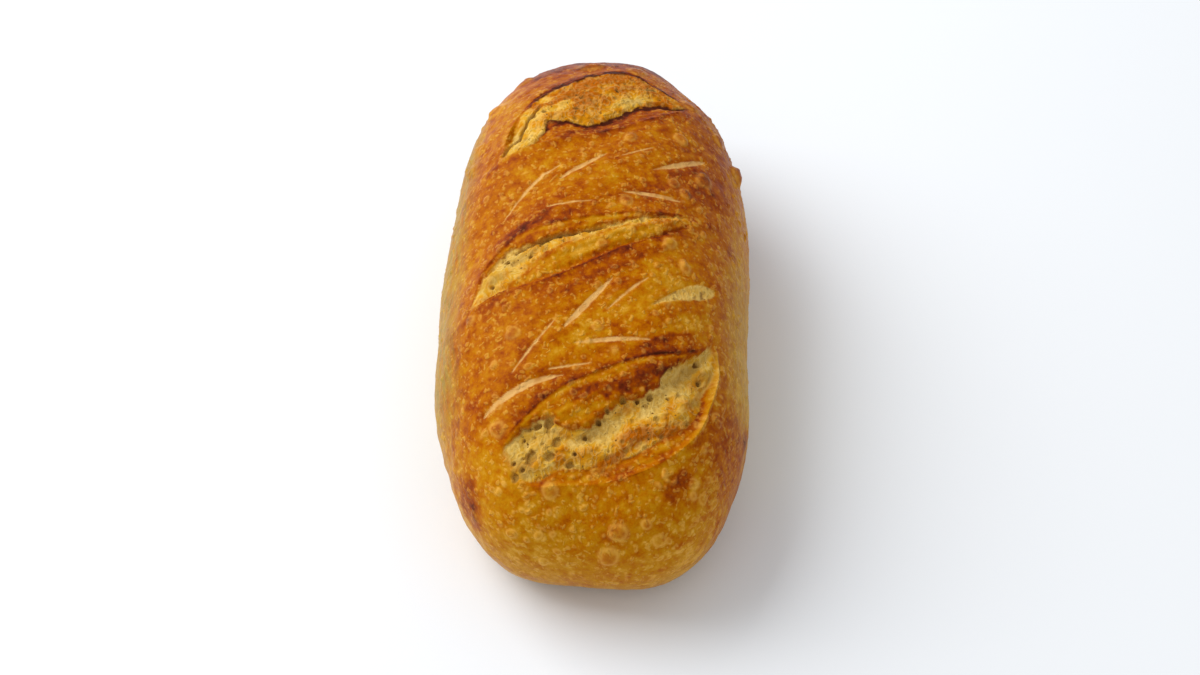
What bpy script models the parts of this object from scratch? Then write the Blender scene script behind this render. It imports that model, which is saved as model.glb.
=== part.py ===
"""A loaf of durum wheat bread: oblong and domed, lying on its flat base.

Three slashes across the top opened in the oven. Each shows torn crumb between a near lip and
a far lip that rises in an ear. Shallow nicks lie between them, and blisters stand on the crust.

Units are metres, +Z is up and +Y runs along the loaf, towards the end that is seen as far.
"""

import math

import bmesh
import bpy
import numpy as np

MM = 0.001

# The loaf's body
LENGTH = 244 * MM
WIDTH = 121 * MM
HEIGHT = 86 * MM
WAIST_HEIGHT = 32 * MM  # the level at which the loaf is widest
BASE_INSET_SIDES = 17 * MM  # how far the flat base lies inside the waist
BASE_INSET_ENDS = 24 * MM
SWAY = 7.7 * MM  # the middle line leans this far sideways from near end to far end
SWAY_RETURN = 9.8 * MM  # and bends back this far at the ends
BOX_MIDDLE = (-0.15 * MM, -0.44 * MM)  # what centres the swayed loaf's box on the origin

# How square the loaf is in plan and upright, at its near and its far end: 2 is an ellipse
PLAN_SQUARENESS = (3.2, 2.35)
DOME_SQUARENESS = (2.1, 2.67)

# The mesh: a flat sheet whose middle disc becomes the dome and whose border turns under
RIM = 1.55  # disc radius of the base's edge, where 1 is the waist
WAIST_SHARE = 0.8  # share of the sheet's radius that becomes the dome
CELLS_ACROSS = 37
CELLS_ALONG = 58
FINEST_REACH = 1.6 * MM  # cells are the finest in openings and nicks, and this far round them
PULL = 0.8 * MM  # points this near to a lip or a nick's bottom are moved onto it
FINE_RADIUS = 1.1  # finer cells stay within this disc radius
PULL_RADIUS = 0.95  # and moved points within this one
STEP = 1e-4  # disc distance over which slopes are measured
BASE_RING = 0.6  # size of the ring inside the base's edge, as a share of it
RELIEF_FADE = (1.15, 1.45)  # disc radii between which the relief dies away

# Low waves that make the loaf uneven: height, wavelengths along X and Y, and shift in turns
WAVES = (
    (0.5 * MM, 95 * MM, 118 * MM, 0.10),
    (0.4 * MM, 61 * MM, -74 * MM, 0.45),
    (0.3 * MM, -43 * MM, 52 * MM, 0.80),
)

# The three openings. The tips are in plan; each lip is given by how far it lies beyond the line
# between the tips, at even angles round the opening, as on an ellipse. The profile runs across,
# from the near lip (0) to the far lip (1), as heights over the plain loaf. Lengths in this table
# and in the two after it are in millimetres. A pocket is a deeper place: middle, size and depth.
OPENINGS = {
    "near": {
        "tips": ((-35.2, -94.5), (43.2, -45.5)),
        "far_lip": (2.7, 5.0, 6.3, 4.4, 0.8, -2.9, -2.0),
        "near_lip": (-13.5, -21.5, -29.8, -34.0, -31.2, -20.0, -9.0),
        "profile": (
            (0.00, 0.6),
            (0.04, -2.6),
            (0.12, -3.4),
            (0.30, -1.6),
            (0.48, -4.6),
            (0.58, -3.2),
            (0.66, -0.8),
            (0.90, -1.6),
            (0.97, -2.8),
            (1.00, 2.6),
        ),
        "pocket": ((36.0, -66.0), 10.0, 4.5),
    },
    "middle": {
        "tips": ((-46.5, -36.0), (37.2, 7.0)),
        "far_lip": (5.0, 16.2, 20.6, 16.2, 10.8, 5.2, 1.8),
        "near_lip": (1.3, -0.5, -5.4, -6.3, -6.0, -6.0, -3.5),
        "profile": (
            (0.00, 0.0),
            (0.10, -1.9),
            (0.24, 0.8),
            (0.42, 2.0),
            (0.62, -0.5),
            (0.72, -5.0),
            (0.82, -3.2),
            (0.96, -2.6),
            (1.00, 3.0),
        ),
        "pocket": ((-30.0, -17.0), 11.0, 2.5),
    },
    "far": {
        "tips": ((-36.5, 38.5), (38.2, 72.5)),
        "far_lip": (5.0, 17.0, 28.2, 32.6, 33.0, 25.5, 8.0),
        "near_lip": (-0.3, -1.6, -5.0, -7.2, -6.8, -4.5, -1.5),
        "profile": (
            (0.00, 1.6),
            (0.10, 0.4),
            (0.30, -2.6),
            (0.38, -3.2),
            (0.46, 1.2),
            (0.62, 1.0),
            (0.85, -1.8),
            (0.96, -3.4),
            (1.00, 1.8),
        ),
        "pocket": ((-31.0, 52.0), 9.0, 3.0),
    },
}
EAR_WIDTH = 5.0 * MM  # how far the crust behind a far lip takes to come back to the plain loaf
LIP_WIDTH = 3.0 * MM  # the same, in front of a near lip
TIP_FADE = 0.12  # share of an opening's length over which its relief dies away at each tip
LEAST_GAP = 0.5 * MM  # keeps the lips apart at the tips

# Nicks that opened a little: start, end and half width in plan
NICKS = (
    ((-14.0, 22.5), (4.6, 36.2), 1.3),
    ((21.4, 28.4), (43.5, 42.2), 2.0),
    ((9.4, 14.9), (32.8, 14.2), 1.4),
    ((-9.6, -47.2), (6.6, -27.2), 1.6),
    ((20.4, -38.9), (43.2, -23.6), 3.4),
    ((-4.2, -55.6), (16.4, -54.0), 1.3),
    ((-41.0, -78.9), (-15.4, -70.0), 1.6),
)
NICK_DEPTH = 0.9 * MM

# Blisters and warts: place, radius and height
BLISTERS = (
    ((29.2, -105.6, 58.0), 5.0, 1.5),
    ((56.5, 51.7, 56.0), 5.0, 2.2),
    ((39.0, 25.6, 79.1), 4.0, 1.0),
    ((29.4, 21.9, 82.9), 3.4, 1.0),
    ((28.2, -10.6, 82.2), 3.0, 1.2),
    ((33.8, -18.6, 79.6), 2.8, 0.8),
    ((8.7, -117.2, 49.5), 3.0, 0.9),
    ((21.2, -117.7, 46.4), 2.8, 0.8),
    ((-47.0, -37.4, 71.7), 2.6, 0.9),
)
BLISTER_FOOT = 1.3  # where a blister ends, in its radii

CRUST_COLOUR = (0.42, 0.155, 0.018, 1.0)
CRUST_ROUGHNESS = 0.5


def clear_scene():
    for thing in list(bpy.data.objects):
        bpy.data.objects.remove(thing, do_unlink=True)


def eased(share):
    """0 to 1 with level ends."""
    share = np.clip(share, 0, 1)
    return share * share * (3 - 2 * share)


def squared_radius(cosine, sine, squareness):
    """Radius of a superellipse of half size 1 in the given direction."""
    return (np.abs(cosine) ** squareness + np.abs(sine) ** squareness) ** (-1 / squareness)


def between_ends(sine, near_and_far):
    """A value that passes from the near end's to the far end's."""
    near, far = near_and_far
    return near + (far - near) * eased((sine + 1) / 2)


def disc_from_square(across, along):
    """The square from -1 to 1 made round, without a seam."""
    return across * np.sqrt(1 - along**2 / 2), along * np.sqrt(1 - across**2 / 2)


def plain_loaf(across, along):
    """Points of the plain loaf for places on the disc: the dome inside radius 1, the turned-under
    sides from there to RIM."""
    radius = np.hypot(across, along)
    centre = radius < 1e-9
    cosine = np.where(centre, 1.0, across / np.maximum(radius, 1e-9))
    sine = np.where(centre, 0.0, along / np.maximum(radius, 1e-9))
    plan = squared_radius(cosine, sine, between_ends(sine, PLAN_SQUARENESS))

    climb = np.clip(radius, 0, 1) * math.pi / 2
    dome_squareness = between_ends(sine, DOME_SQUARENESS)
    dome = squared_radius(np.sin(climb), np.cos(climb), dome_squareness)
    reach = np.sin(climb) * dome
    dome_height = WAIST_HEIGHT + (HEIGHT - WAIST_HEIGHT) * np.cos(climb) * dome

    turn = np.clip((radius - 1) / (RIM - 1), 0, 1) * math.pi / 2
    inset = 1 - np.cos(turn)
    z = np.where(radius > 1, WAIST_HEIGHT * (1 - np.sin(turn)), dome_height)
    x = cosine * plan * (WIDTH / 2 * reach - BASE_INSET_SIDES * inset)
    y = sine * plan * (LENGTH / 2 * reach - BASE_INSET_ENDS * inset)
    end = y / (LENGTH / 2)
    x = x + SWAY * end - SWAY_RETURN * end * np.abs(end)
    return np.stack([x, y, z], axis=-1)


def slopes(across, along):
    """How the plain loaf's points move with each disc coordinate."""
    by_across = plain_loaf(across + STEP, along) - plain_loaf(across - STEP, along)
    by_along = plain_loaf(across, along + STEP) - plain_loaf(across, along - STEP)
    return by_across / (2 * STEP), by_along / (2 * STEP)


def outward(across, along):
    """Unit normals of the plain loaf."""
    normal = np.cross(*slopes(across, along))
    return normal / np.maximum(np.linalg.norm(normal, axis=-1, keepdims=True), 1e-12)


def lip_offset(offsets, share):
    """A lip's distance from the line between the tips, smoothed through its given offsets."""
    known = np.array([-offsets[0], 0.0, *offsets, 0.0, -offsets[-1]])
    place = np.arccos(1 - 2 * np.clip(share, 0, 1)) / math.pi * (len(offsets) + 1)
    first = np.clip(np.floor(place).astype(int), 0, len(offsets))
    t = place - first
    before, start, end, after = (known[first + k] for k in range(4))
    curve = 2 * start + (end - before) * t
    curve = curve + (2 * before - 5 * start + 4 * end - after) * t**2
    curve = curve + (3 * start - before - 3 * end + after) * t**3
    return curve / 2 * MM


def line_frame(tips, x, y):
    """Share along the line between two tips, and distance beyond it, in plan."""
    (start_x, start_y), (end_x, end_y) = tips
    length = math.hypot(end_x - start_x, end_y - start_y)
    cosine, sine = (end_x - start_x) / length, (end_y - start_y) / length
    from_x, from_y = x - start_x * MM, y - start_y * MM
    share = (from_x * cosine + from_y * sine) / (length * MM)
    return share, from_y * cosine - from_x * sine


def opening_place(opening, x, y):
    """Share along, distance past the far lip, and distance past the near lip."""
    share, beyond = line_frame(opening["tips"], x, y)
    past_far = beyond - lip_offset(opening["far_lip"], share)
    past_near = lip_offset(opening["near_lip"], share) - beyond
    return share, past_far, past_near


def axis_across(tips):
    """Unit vector in plan across the line between two tips, to its left."""
    (start_x, start_y), (end_x, end_y) = tips
    length = math.hypot(end_x - start_x, end_y - start_y)
    return np.array([start_y - end_y, end_x - start_x]) / length


def opening_relief(opening, x, y):
    share, past_far, past_near = opening_place(opening, x, y)
    fade = eased(share / TIP_FADE) * eased((1 - share) / TIP_FADE)
    places, heights = np.array(opening["profile"]).T
    gap = np.maximum(-past_far - past_near, LEAST_GAP)
    relief = np.interp(-past_near / gap, places, heights)
    relief = np.where(past_far > 0, heights[-1] * np.exp(-past_far / EAR_WIDTH), relief)
    relief = np.where(past_near > 0, heights[0] * np.exp(-past_near / LIP_WIDTH), relief)

    (pocket_x, pocket_y), pocket_size, pocket_depth = opening["pocket"]
    away = np.hypot(x - pocket_x * MM, y - pocket_y * MM) / (pocket_size * MM)
    inside = (past_far < 0) & (past_near < 0)
    relief = relief - np.where(inside, pocket_depth * np.exp(-2 * away**2), 0)
    return relief * fade * MM


def nick_relief(nick, x, y):
    """A groove as wide as stated at its middle, drawn to a point at both ends."""
    start, end, half_width = nick
    share, beyond = line_frame((start, end), x, y)
    inside = (share > 0) & (share < 1)
    width = half_width * MM * np.sqrt(np.where(inside, 4 * share * (1 - share), 1))
    return np.where(inside, -NICK_DEPTH * np.exp(-((beyond / width) ** 2)), 0)


def blister_away(blister, points):
    """Distance from a blister's middle, in its radii."""
    place, radius, _ = blister
    return np.linalg.norm(points / MM - np.array(place), axis=-1) / radius


def blister_relief(blister, points):
    return blister[2] * MM * eased(BLISTER_FOOT - blister_away(blister, points))


def wave_relief(x, y):
    total = np.zeros_like(x)
    for height, wavelength_x, wavelength_y, shift in WAVES:
        total += height * np.sin(2 * math.pi * (x / wavelength_x + y / wavelength_y + shift))
    return total


def relief(points):
    """Height over the plain loaf at its points."""
    x, y, _ = points.T
    total = wave_relief(x, y)
    for opening in OPENINGS.values():
        total += opening_relief(opening, x, y)
    for nick in NICKS:
        total += nick_relief(nick, x, y)
    for blister in BLISTERS:
        total += blister_relief(blister, points)
    return total


def in_nick_or_blister(points):
    x, y, _ = points.T
    found = np.zeros(x.shape, bool)
    for nick in NICKS:
        share, beyond = line_frame(nick[:2], x, y)
        found |= (share > 0) & (share < 1) & (np.abs(beyond) < nick[2] * MM + FINEST_REACH)
    for blister in BLISTERS:
        found |= blister_away(blister, points) < BLISTER_FOOT
    return found


def needs_detail(points):
    """Whether a point lies in or close to an opening, or in a nick or a blister."""
    x, y, _ = points.T
    found = in_nick_or_blister(points)
    for opening in OPENINGS.values():
        share, past_far, past_near = opening_place(opening, x, y)
        beside = (share > -0.02) & (share < 1.02)
        found |= beside & (past_far < EAR_WIDTH) & (past_near < LIP_WIDTH)
    return found


def needs_finest(points):
    """Whether a point lies in an opening, a nick or a blister."""
    x, y, _ = points.T
    found = in_nick_or_blister(points)
    for opening in OPENINGS.values():
        share, past_far, past_near = opening_place(opening, x, y)
        past = np.maximum(past_far, past_near)
        found |= (share > 0) & (share < 1) & (past < FINEST_REACH)
    return found


def sheet_places(sheet):
    """Where the sheet's points lie on the disc."""
    flat = np.array([vertex.co[:2] for vertex in sheet.verts])
    across, along = disc_from_square(flat[:, 0], flat[:, 1])
    radius = np.hypot(across, along)
    wide = np.where(
        radius < WAIST_SHARE,
        radius / WAIST_SHARE,
        1 + (RIM - 1) * (radius - WAIST_SHARE) / (1 - WAIST_SHARE),
    )
    scale = wide / np.maximum(radius, 1e-9)
    return across * scale, along * scale


def flat_sheet():
    """The sheet with finer cells where the openings, nicks and blisters come."""
    sheet = bmesh.new()
    bmesh.ops.create_grid(sheet, x_segments=CELLS_ACROSS, y_segments=CELLS_ALONG, size=1.0)
    for wanted in (needs_detail, needs_finest):
        across, along = sheet_places(sheet)
        points = plain_loaf(across, along)
        fine = wanted(points) & (np.hypot(across, along) < FINE_RADIUS)
        sheet.verts.index_update()
        edges = [e for e in sheet.edges if any(fine[v.index] for v in e.verts)]
        bmesh.ops.subdivide_edges(sheet, edges=edges, cuts=1, use_grid_fill=True)
    return sheet


def pull(x, y):
    """How far points in plan are moved, so that edges of the mesh run along lips and nicks."""
    push = np.zeros((len(x), 2))
    for nick in NICKS:
        share, beyond = line_frame(nick[:2], x, y)
        near = (share > 0) & (share < 1) & (np.abs(beyond) < PULL)
        push -= np.where(near, beyond, 0)[:, None] * axis_across(nick[:2])
    for opening in OPENINGS.values():
        share, past_far, past_near = opening_place(opening, x, y)
        past = np.where(np.abs(past_far) < np.abs(past_near), past_far, -past_near)
        near = (share > 0) & (share < 1) & (np.abs(past) < PULL)
        push -= np.where(near, past, 0)[:, None] * axis_across(opening["tips"])
    return push


def pulled(across, along):
    """Disc places moved so that their points in plan move by the pull."""
    points = plain_loaf(across, along)[:, :2]
    push = pull(*points.T) * (np.hypot(across, along) < PULL_RADIUS)[:, None]
    by_across, by_along = slopes(across, along)
    spread = by_across[:, 0] * by_along[:, 1] - by_across[:, 1] * by_along[:, 0]
    spread = np.where(np.abs(push).sum(axis=1) > 0, spread, 1.0)
    shift_across = (push[:, 0] * by_along[:, 1] - push[:, 1] * by_along[:, 0]) / spread
    shift_along = (by_across[:, 0] * push[:, 1] - by_across[:, 1] * push[:, 0]) / spread
    return across + shift_across, along + shift_along


def raise_loaf(sheet):
    """Moves the sheet's points onto the loaf, relief and all."""
    across, along = pulled(*sheet_places(sheet))
    points = plain_loaf(across, along)
    fade = eased((RELIEF_FADE[1] - np.hypot(across, along)) / (RELIEF_FADE[1] - RELIEF_FADE[0]))
    height = relief(points) * fade
    points += outward(across, along) * height[:, None]
    points[:, :2] -= BOX_MIDDLE
    for vertex, point in zip(sheet.verts, points):
        vertex.co = point


def close_base(sheet):
    """The flat base: a ring inside the rim, then one face."""
    rim = [edge for edge in sheet.edges if edge.is_boundary]
    for vertex in {vertex for edge in rim for vertex in edge.verts}:
        vertex.co.z = 0
    made = bmesh.ops.extrude_edge_only(sheet, edges=rim)["geom"]
    for vertex in (item for item in made if isinstance(item, bmesh.types.BMVert)):
        vertex.co.x *= BASE_RING
        vertex.co.y *= BASE_RING
    inner = [item for item in made if isinstance(item, bmesh.types.BMEdge) and item.is_boundary]
    bmesh.ops.contextual_create(sheet, geom=inner)


def crust_material():
    material = bpy.data.materials.new("crust")
    material.use_nodes = True
    shader = material.node_tree.nodes["Principled BSDF"]
    shader.inputs["Base Color"].default_value = CRUST_COLOUR
    shader.inputs["Roughness"].default_value = CRUST_ROUGHNESS
    shader.inputs["Metallic"].default_value = 0.0
    return material


def make_loaf(collection):
    sheet = flat_sheet()
    raise_loaf(sheet)
    close_base(sheet)
    bmesh.ops.triangulate(sheet, faces=sheet.faces[:], quad_method="SHORT_EDGE")
    bmesh.ops.recalc_face_normals(sheet, faces=sheet.faces[:])
    mesh = bpy.data.meshes.new("loaf")
    sheet.to_mesh(mesh)
    sheet.free()
    mesh.shade_smooth()
    mesh.materials.append(crust_material())
    collection.objects.link(bpy.data.objects.new("loaf", mesh))


def main():
    clear_scene()
    collection = bpy.data.collections.new("durum_wheat_bread")
    bpy.context.scene.collection.children.link(collection)
    make_loaf(collection)


main()
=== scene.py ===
"""The looks of a loaf of durum wheat bread, in one fine surface over the loaf's solid.

The surface has the solid's form and adds what is finer: torn crumb with its pores, stretched skin,
ears that hang over a little, nicks, blisters, streaks and the browning. The form is worked out in
millimetres, and the meshes are in metres.
"""

import itertools
import math
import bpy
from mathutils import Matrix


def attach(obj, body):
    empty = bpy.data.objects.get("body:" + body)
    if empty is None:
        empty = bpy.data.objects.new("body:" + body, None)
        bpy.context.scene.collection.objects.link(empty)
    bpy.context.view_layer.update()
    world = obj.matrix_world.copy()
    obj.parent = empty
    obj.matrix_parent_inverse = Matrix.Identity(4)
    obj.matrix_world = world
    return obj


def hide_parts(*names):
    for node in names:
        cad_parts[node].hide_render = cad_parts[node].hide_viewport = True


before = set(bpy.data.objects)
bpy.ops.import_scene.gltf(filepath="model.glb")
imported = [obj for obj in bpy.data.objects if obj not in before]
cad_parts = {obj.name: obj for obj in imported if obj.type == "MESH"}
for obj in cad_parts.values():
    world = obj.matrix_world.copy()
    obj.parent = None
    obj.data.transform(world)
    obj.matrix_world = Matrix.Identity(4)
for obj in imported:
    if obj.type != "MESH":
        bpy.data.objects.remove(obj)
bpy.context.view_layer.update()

from types import SimpleNamespace

import bpy
import numpy as np
from mathutils import Vector

MM = 0.001
TINY = 1e-12  # keeps a division from failing where a length is nothing

# The loaf's body, as in the solid
LENGTH = 244
WIDTH = 121
HEIGHT = 86
WAIST_HEIGHT = 32  # the level at which the loaf is widest
BASE_INSET_SIDES = 17  # how far the flat base lies inside the waist
BASE_INSET_ENDS = 24
SWAY = 7.7  # the middle line leans this far sideways from near end to far end
SWAY_RETURN = 9.8  # and bends back this far at the ends
BOX_MIDDLE = (-0.15, -0.44)  # what centres the swayed loaf's box on the origin
PLAN_SQUARENESS = (3.2, 2.35)  # at the near and the far end: 2 is an ellipse
DOME_SQUARENESS = (2.1, 2.67)
WAVES = (  # height, wavelengths along X and Y, and shift in turns
    (0.5, 95, 118, 0.10),
    (0.4, 61, -74, 0.45),
    (0.3, -43, 52, 0.80),
)

# The grid, in a flat sheet whose middle becomes the dome and whose border turns under
RIM = 1.55  # disc radius of the base's edge, where 1 is the waist
WAIST_SHARE = 0.8  # share of the sheet's radius that becomes the dome
LINES_ACROSS = 400
LINES_ALONG = 600
SKIRT_LINES = 22  # on each side, between the waist and the base's edge
LINE_SAMPLES = 4001  # places measured over the dome, to space the lines evenly
STEP = 1e-4  # disc distance over which slopes are measured
RELIEF_FADE = (1.15, 1.45)  # disc radii between which the relief dies away
BASE_RINGS = (0.985, 0.96, 0.9, 0.8, 0.65, 0.45, 0.22)  # as shares of the base's edge
PULL = 0.36  # points this near to a lip or a nick's bottom are moved onto it
PULL_LEVEL = 0.35  # where the surface is steeper than this, they aren't
CRUST_BORDERS = (-38, 38)  # along Y, between the near, the middle and the far piece of crust

# The three openings, as in the solid: the tips in plan, each lip by how far it lies beyond the
# line between the tips, the profile from the near lip (0) to the far lip (1) as heights over the
# plain loaf, and a pocket, which is a deeper place, by its middle, size and depth.
# The rest is finer, and changes from the left tip (0) to the right tip (1). The skin is the crust
# that stretched before it tore: its edges are places across the opening, and "from" is where the
# profile has them. The crumb is smooth as far across as "smooth_to". Burn is browning, and its
# widths are outside the ear, outside and inside the near lip, and at the skin's edges.
# The rim is a pale band along the near lip: partly paler crust and partly a painted highlight.
OPENINGS = {
    "near": {
        "tips": ((-35.2, -94.5), (43.2, -45.5)),
        "far_lip": (2.7, 5, 6.3, 4.4, 0.8, -2.9, -2),
        "near_lip": (-13.5, -21.5, -29.8, -34, -31.2, -20, -9),
        "profile": (
            (0, 0.4), (0.05, -1), (0.12, -1.8), (0.3, -0.6), (0.48, -3.2),
            (0.58, -2.4), (0.66, -0.6), (0.82, 0.1), (0.96, 0), (1, 0.3),
        ),
        "pocket": ((38, -66), 9, 3),
        "far_skin_from": 0.60,
        "far_skin": (
            (0, 0.90), (0.17, 0.88), (0.22, 0.80), (0.27, 0.57), (0.35, 0.53),
            (0.5, 0.64), (0.6, 0.60), (0.68, 0.65), (0.76, 0.79), (1, 0.92),
        ),
        "near_skin_from": 0.13,
        "near_skin": (
            (0, 0.04), (0.1, 0.12), (0.17, 0.20), (0.3, 0.13),
            (0.53, 0.16), (0.73, 0.11), (1, 0.04),
        ),
        "edge_ragged": 0.6,
        "smooth_to": ((0, 0), (1, 0)),
        "ear_burn": ((0, 0.12), (0.3, 0.2), (0.55, 0.26), (0.7, 0.38), (0.85, 0.38), (0.95, 0)),
        "lip_burn": ((0, 0.05), (0.3, 0.12), (0.5, 0.22), (0.7, 0.1), (1, 0)),
        "edge_burn": ((0, 0.16), (1, 0.16)),
        "burn_widths": (2.4, 1, 2, 1.5),
        "rim": ((0, 0.3), (0.3, 0.1), (0.55, 0.3), (0.75, 1.4), (0.95, 1.8), (1, 0.6)),
        "toast": ((0, 0.15), (0.25, 0.3), (0.5, 0.5), (0.7, 0.45), (1, 0.4)),
        "toast_slope": -0.35,
    },
    "middle": {
        "tips": ((-46.5, -36), (37.2, 7)),
        "far_lip": (5, 16.2, 20.6, 16.2, 10.8, 5.2, 1.8),
        "near_lip": (1.3, -0.5, -5.4, -6.3, -6, -6, -3.5),
        "profile": (
            (0, 0.2), (0.07, -0.8), (0.22, 0.4), (0.42, 1.2), (0.6, 0.2),
            (0.72, -1), (0.79, -0.1), (0.95, 0.1), (1, 0.5),
        ),
        "pocket": ((-30, -17), 11, 2.5),
        "far_skin_from": 0.74,
        "far_skin": (
            (0, 0.86), (0.24, 0.89), (0.31, 0.82), (0.39, 0.71),
            (0.6, 0.72), (0.7, 0.76), (0.83, 0.88), (1, 0.92),
        ),
        "near_skin_from": 0.03,
        "near_skin": ((0, 0.02), (1, 0.04)),
        "edge_ragged": 0.6,
        "smooth_to": (
            (0, 0), (0.12, 0.02), (0.28, 0.38), (0.45, 0.50),
            (0.6, 0.55), (0.75, 0.55), (1, 0.30),
        ),
        "ear_burn": ((0, 0.05), (0.1, 0.12), (0.3, 0.2), (0.6, 0.18), (0.85, 0.12), (1, 0.05)),
        "lip_burn": ((0, 0.05), (0.15, 0.1), (0.25, 0.22), (0.6, 0.24), (0.85, 0.04), (1, 0)),
        "edge_burn": ((0, 0.12), (1, 0.12)),
        "burn_widths": (3.5, 3.4, 0.8, 1.5),
        "rim": ((0, 0.6), (0.3, 0.5), (0.6, 0.2), (1, 0.2)),
        "toast": ((0, 0.12), (0.25, 0.25), (0.45, 0.5), (0.7, 0.5), (1, 0.5)),
        "toast_slope": -0.5,
    },
    "far": {
        "tips": ((-36.5, 38.5), (38.2, 72.5)),
        "far_lip": (5, 17, 28.2, 32.6, 33, 25.5, 8),
        "near_lip": (-0.3, -1.6, -5, -7.2, -6.8, -4.5, -1.5),
        "profile": (
            (0, 0.9), (0.12, 0.3), (0.3, -1), (0.39, -1.1), (0.45, 0.1),
            (0.62, 0.4), (0.85, 0.2), (0.96, 0.2), (1, 0.3),
        ),
        "pocket": ((-31, 52), 9, 3),
        "far_skin_from": 0.86,
        "far_skin": ((0, 0.86), (0.2, 0.92), (0.8, 0.94), (1, 0.80)),
        "near_skin_from": 0.41,
        "near_skin": (
            (0, 0.02), (0.14, 0.06), (0.23, 0.24), (0.28, 0.46), (0.35, 0.38),
            (0.43, 0.24), (0.57, 0.20), (0.74, 0.30), (1, 0.24),
        ),
        "edge_ragged": 1.3,
        "smooth_to": ((0, 0), (1, 0)),
        "ear_burn": ((0, 0), (0.3, 0.04), (0.5, 0.16), (0.8, 0.2), (1, 0.1)),
        "lip_burn": ((0, 0), (0.3, 0.08), (0.5, 0.18), (0.9, 0.2), (1, 0.15)),
        "edge_burn": ((0, 0), (0.2, 0.05), (0.28, 0.5), (1, 0.5)),
        "burn_widths": (1.6, 1.6, 4, 2.6),
        "rim": ((0, 0.4), (0.2, 0.2), (0.4, 0), (1, 0.2)),
        "toast": ((0, 0.15), (0.15, 0.35), (0.25, 0.35), (0.4, 0.6), (0.7, 0.65), (1, 0.7)),
        "toast_slope": 0.5,
    },
}
SLASH_TURN = math.radians(28)  # how far the slashes are turned from the X axis
TIP_FADE = 0.12  # share of its length over which an opening's relief sets in
CRUMB_FADE = 3  # how many times sooner its crumb does
BURN_FADE = 2  # and its browning
LEAST_GAP = 0.5
ON_LIP = 0.02  # points this little past a lip still belong to the opening
AT_TIP = 0.01  # share of an opening's length, at each tip, that belongs to the pieces of crust

# The skin's edges, as shares of the opening's width, and how the skin passes into the crumb
FAR_EDGE_RANGE = (0.1, 0.97)
LEAST_NEAR_EDGE = 0.01
LEAST_CRUMB = 0.05
SKIN_BLEND = 0.7
SMOOTH_BLEND = 2.6
SMOOTH_RAGGED = 1.3
GROOVE_DEPTH = 0.15  # of the fine groove along the skin's edges
GROOVE_WIDTH = 1.2
POCKET_STEEPNESS = 2

# The ear and the near lip, their browning, a paler band under the ear that is painted light, and the
# pale rim on the near lip, partly a painted highlight
EAR_WIDTH = 5.0
LIP_WIDTH = 3.0
EAR_LEAN = 0.25  # how far an ear hangs over its opening
EAR_LEAN_WIDTH = 3.0
EAR_THICKNESS = 0.8
BURN_RAGGED = 0.5
UNDER_EAR = 1.7  # the middle of a paler band inside the opening: painted light on the wall in the ear's shade
UNDER_EAR_WIDTH = 0.7
UNDER_EAR_PAINTED_LIGHT = -0.12
LIP_RIM_WIDTH = 0.9
LIP_RIM_HIGHLIGHT_BAKE = -0.22
LIP_RIM_HEIGHT = 0.35

# How depth and height change the crumb: deep places get painted shade and less toast
DEEP_FROM = 2.4
DEEP_REACH = 2.6
DEEP_SHADE = 0.4
DEEP_TOAST = -0.3
TOAST_LEVEL = -1.0  # what stands higher than this is toasted more
TOAST_BY_HEIGHT = 0.14

# Nicks: start, end, bow at the middle, half width in plan, depth, and where each is widest
NICKS = (
    ((-36.5, 5), (-13.2, 30.7), 2.2, 0.6, 0.6, 0.6),
    ((-14, 22.5), (4.6, 36.2), 0, 0.85, 0.9, 0.45),
    ((9.4, 34.1), (23.1, 41), 0, 0.35, 0.4, 0.5),
    ((21.4, 28.4), (43.5, 42.2), -0.8, 1.1, 0.9, 0.6),
    ((9.4, 14.9), (32.8, 14.2), 0.3, 0.8, 0.9, 0.6),
    ((-19.3, 7.6), (-0.5, 9.5), 0, 0.4, 0.4, 0.5),
    ((-11.6, -49.2), (6.6, -27.2), 0, 1, 0.9, 0.4),
    ((3.3, -42.8), (19.8, -26.5), 0.4, 0.5, 0.6, 0.6),
    ((19.4, -39.5), (44.2, -23.6), 0, 2.3, 1.1, 0.74),
    ((-30.7, -66.5), (-14.4, -44.9), 0, 0.45, 0.5, 0.5),
    ((-8.2, -55.9), (20.4, -53.5), 0.4, 0.8, 0.9, 0.45),
    ((-41, -78.9), (-11.4, -68.6), 1.9, 1.1, 0.9, 0.4),
    ((-17.6, -66.2), (-1.1, -63.9), 0, 0.4, 0.4, 0.5),
)
POROUS_NICK = 2.0  # a nick wider than this shows the crumb
POROUS_CUT = 0.4  # and keeps this share of its pale cut
POROUS_TOAST = 0.1
NICK_PORES = (1.9, 36)  # size and shift of the noise that makes its pores
NICK_PORE_SHARE = -0.2
NICK_PORE_SHADE = 0.85
NICK_BLUNTNESS = 0.65  # 1 is a parabola, and lower is blunter
NICK_GAIN = 1.25  # how much wider the pale bottom is at its widest than the table says
NICK_RAGGED = 0.15
LEAST_HALF_WIDTH = 0.02
NICK_PAST = 0.3  # how far the pale bottom's soft edge reaches past its half width
NICK_SOFT = 0.55
NICK_FULL = 0.25  # half width from which the bottom is fully pale
GROOVE_FULL = 0.3  # and the groove fully deep
NICK_WALL = 0.45  # how far a nick's groove reaches past its pale bottom
NICK_DEPTH = (0.55, 0.2)  # share of the given depth, and how much that wanders
NICK_PALENESS = (0.95, 0.3)

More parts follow.
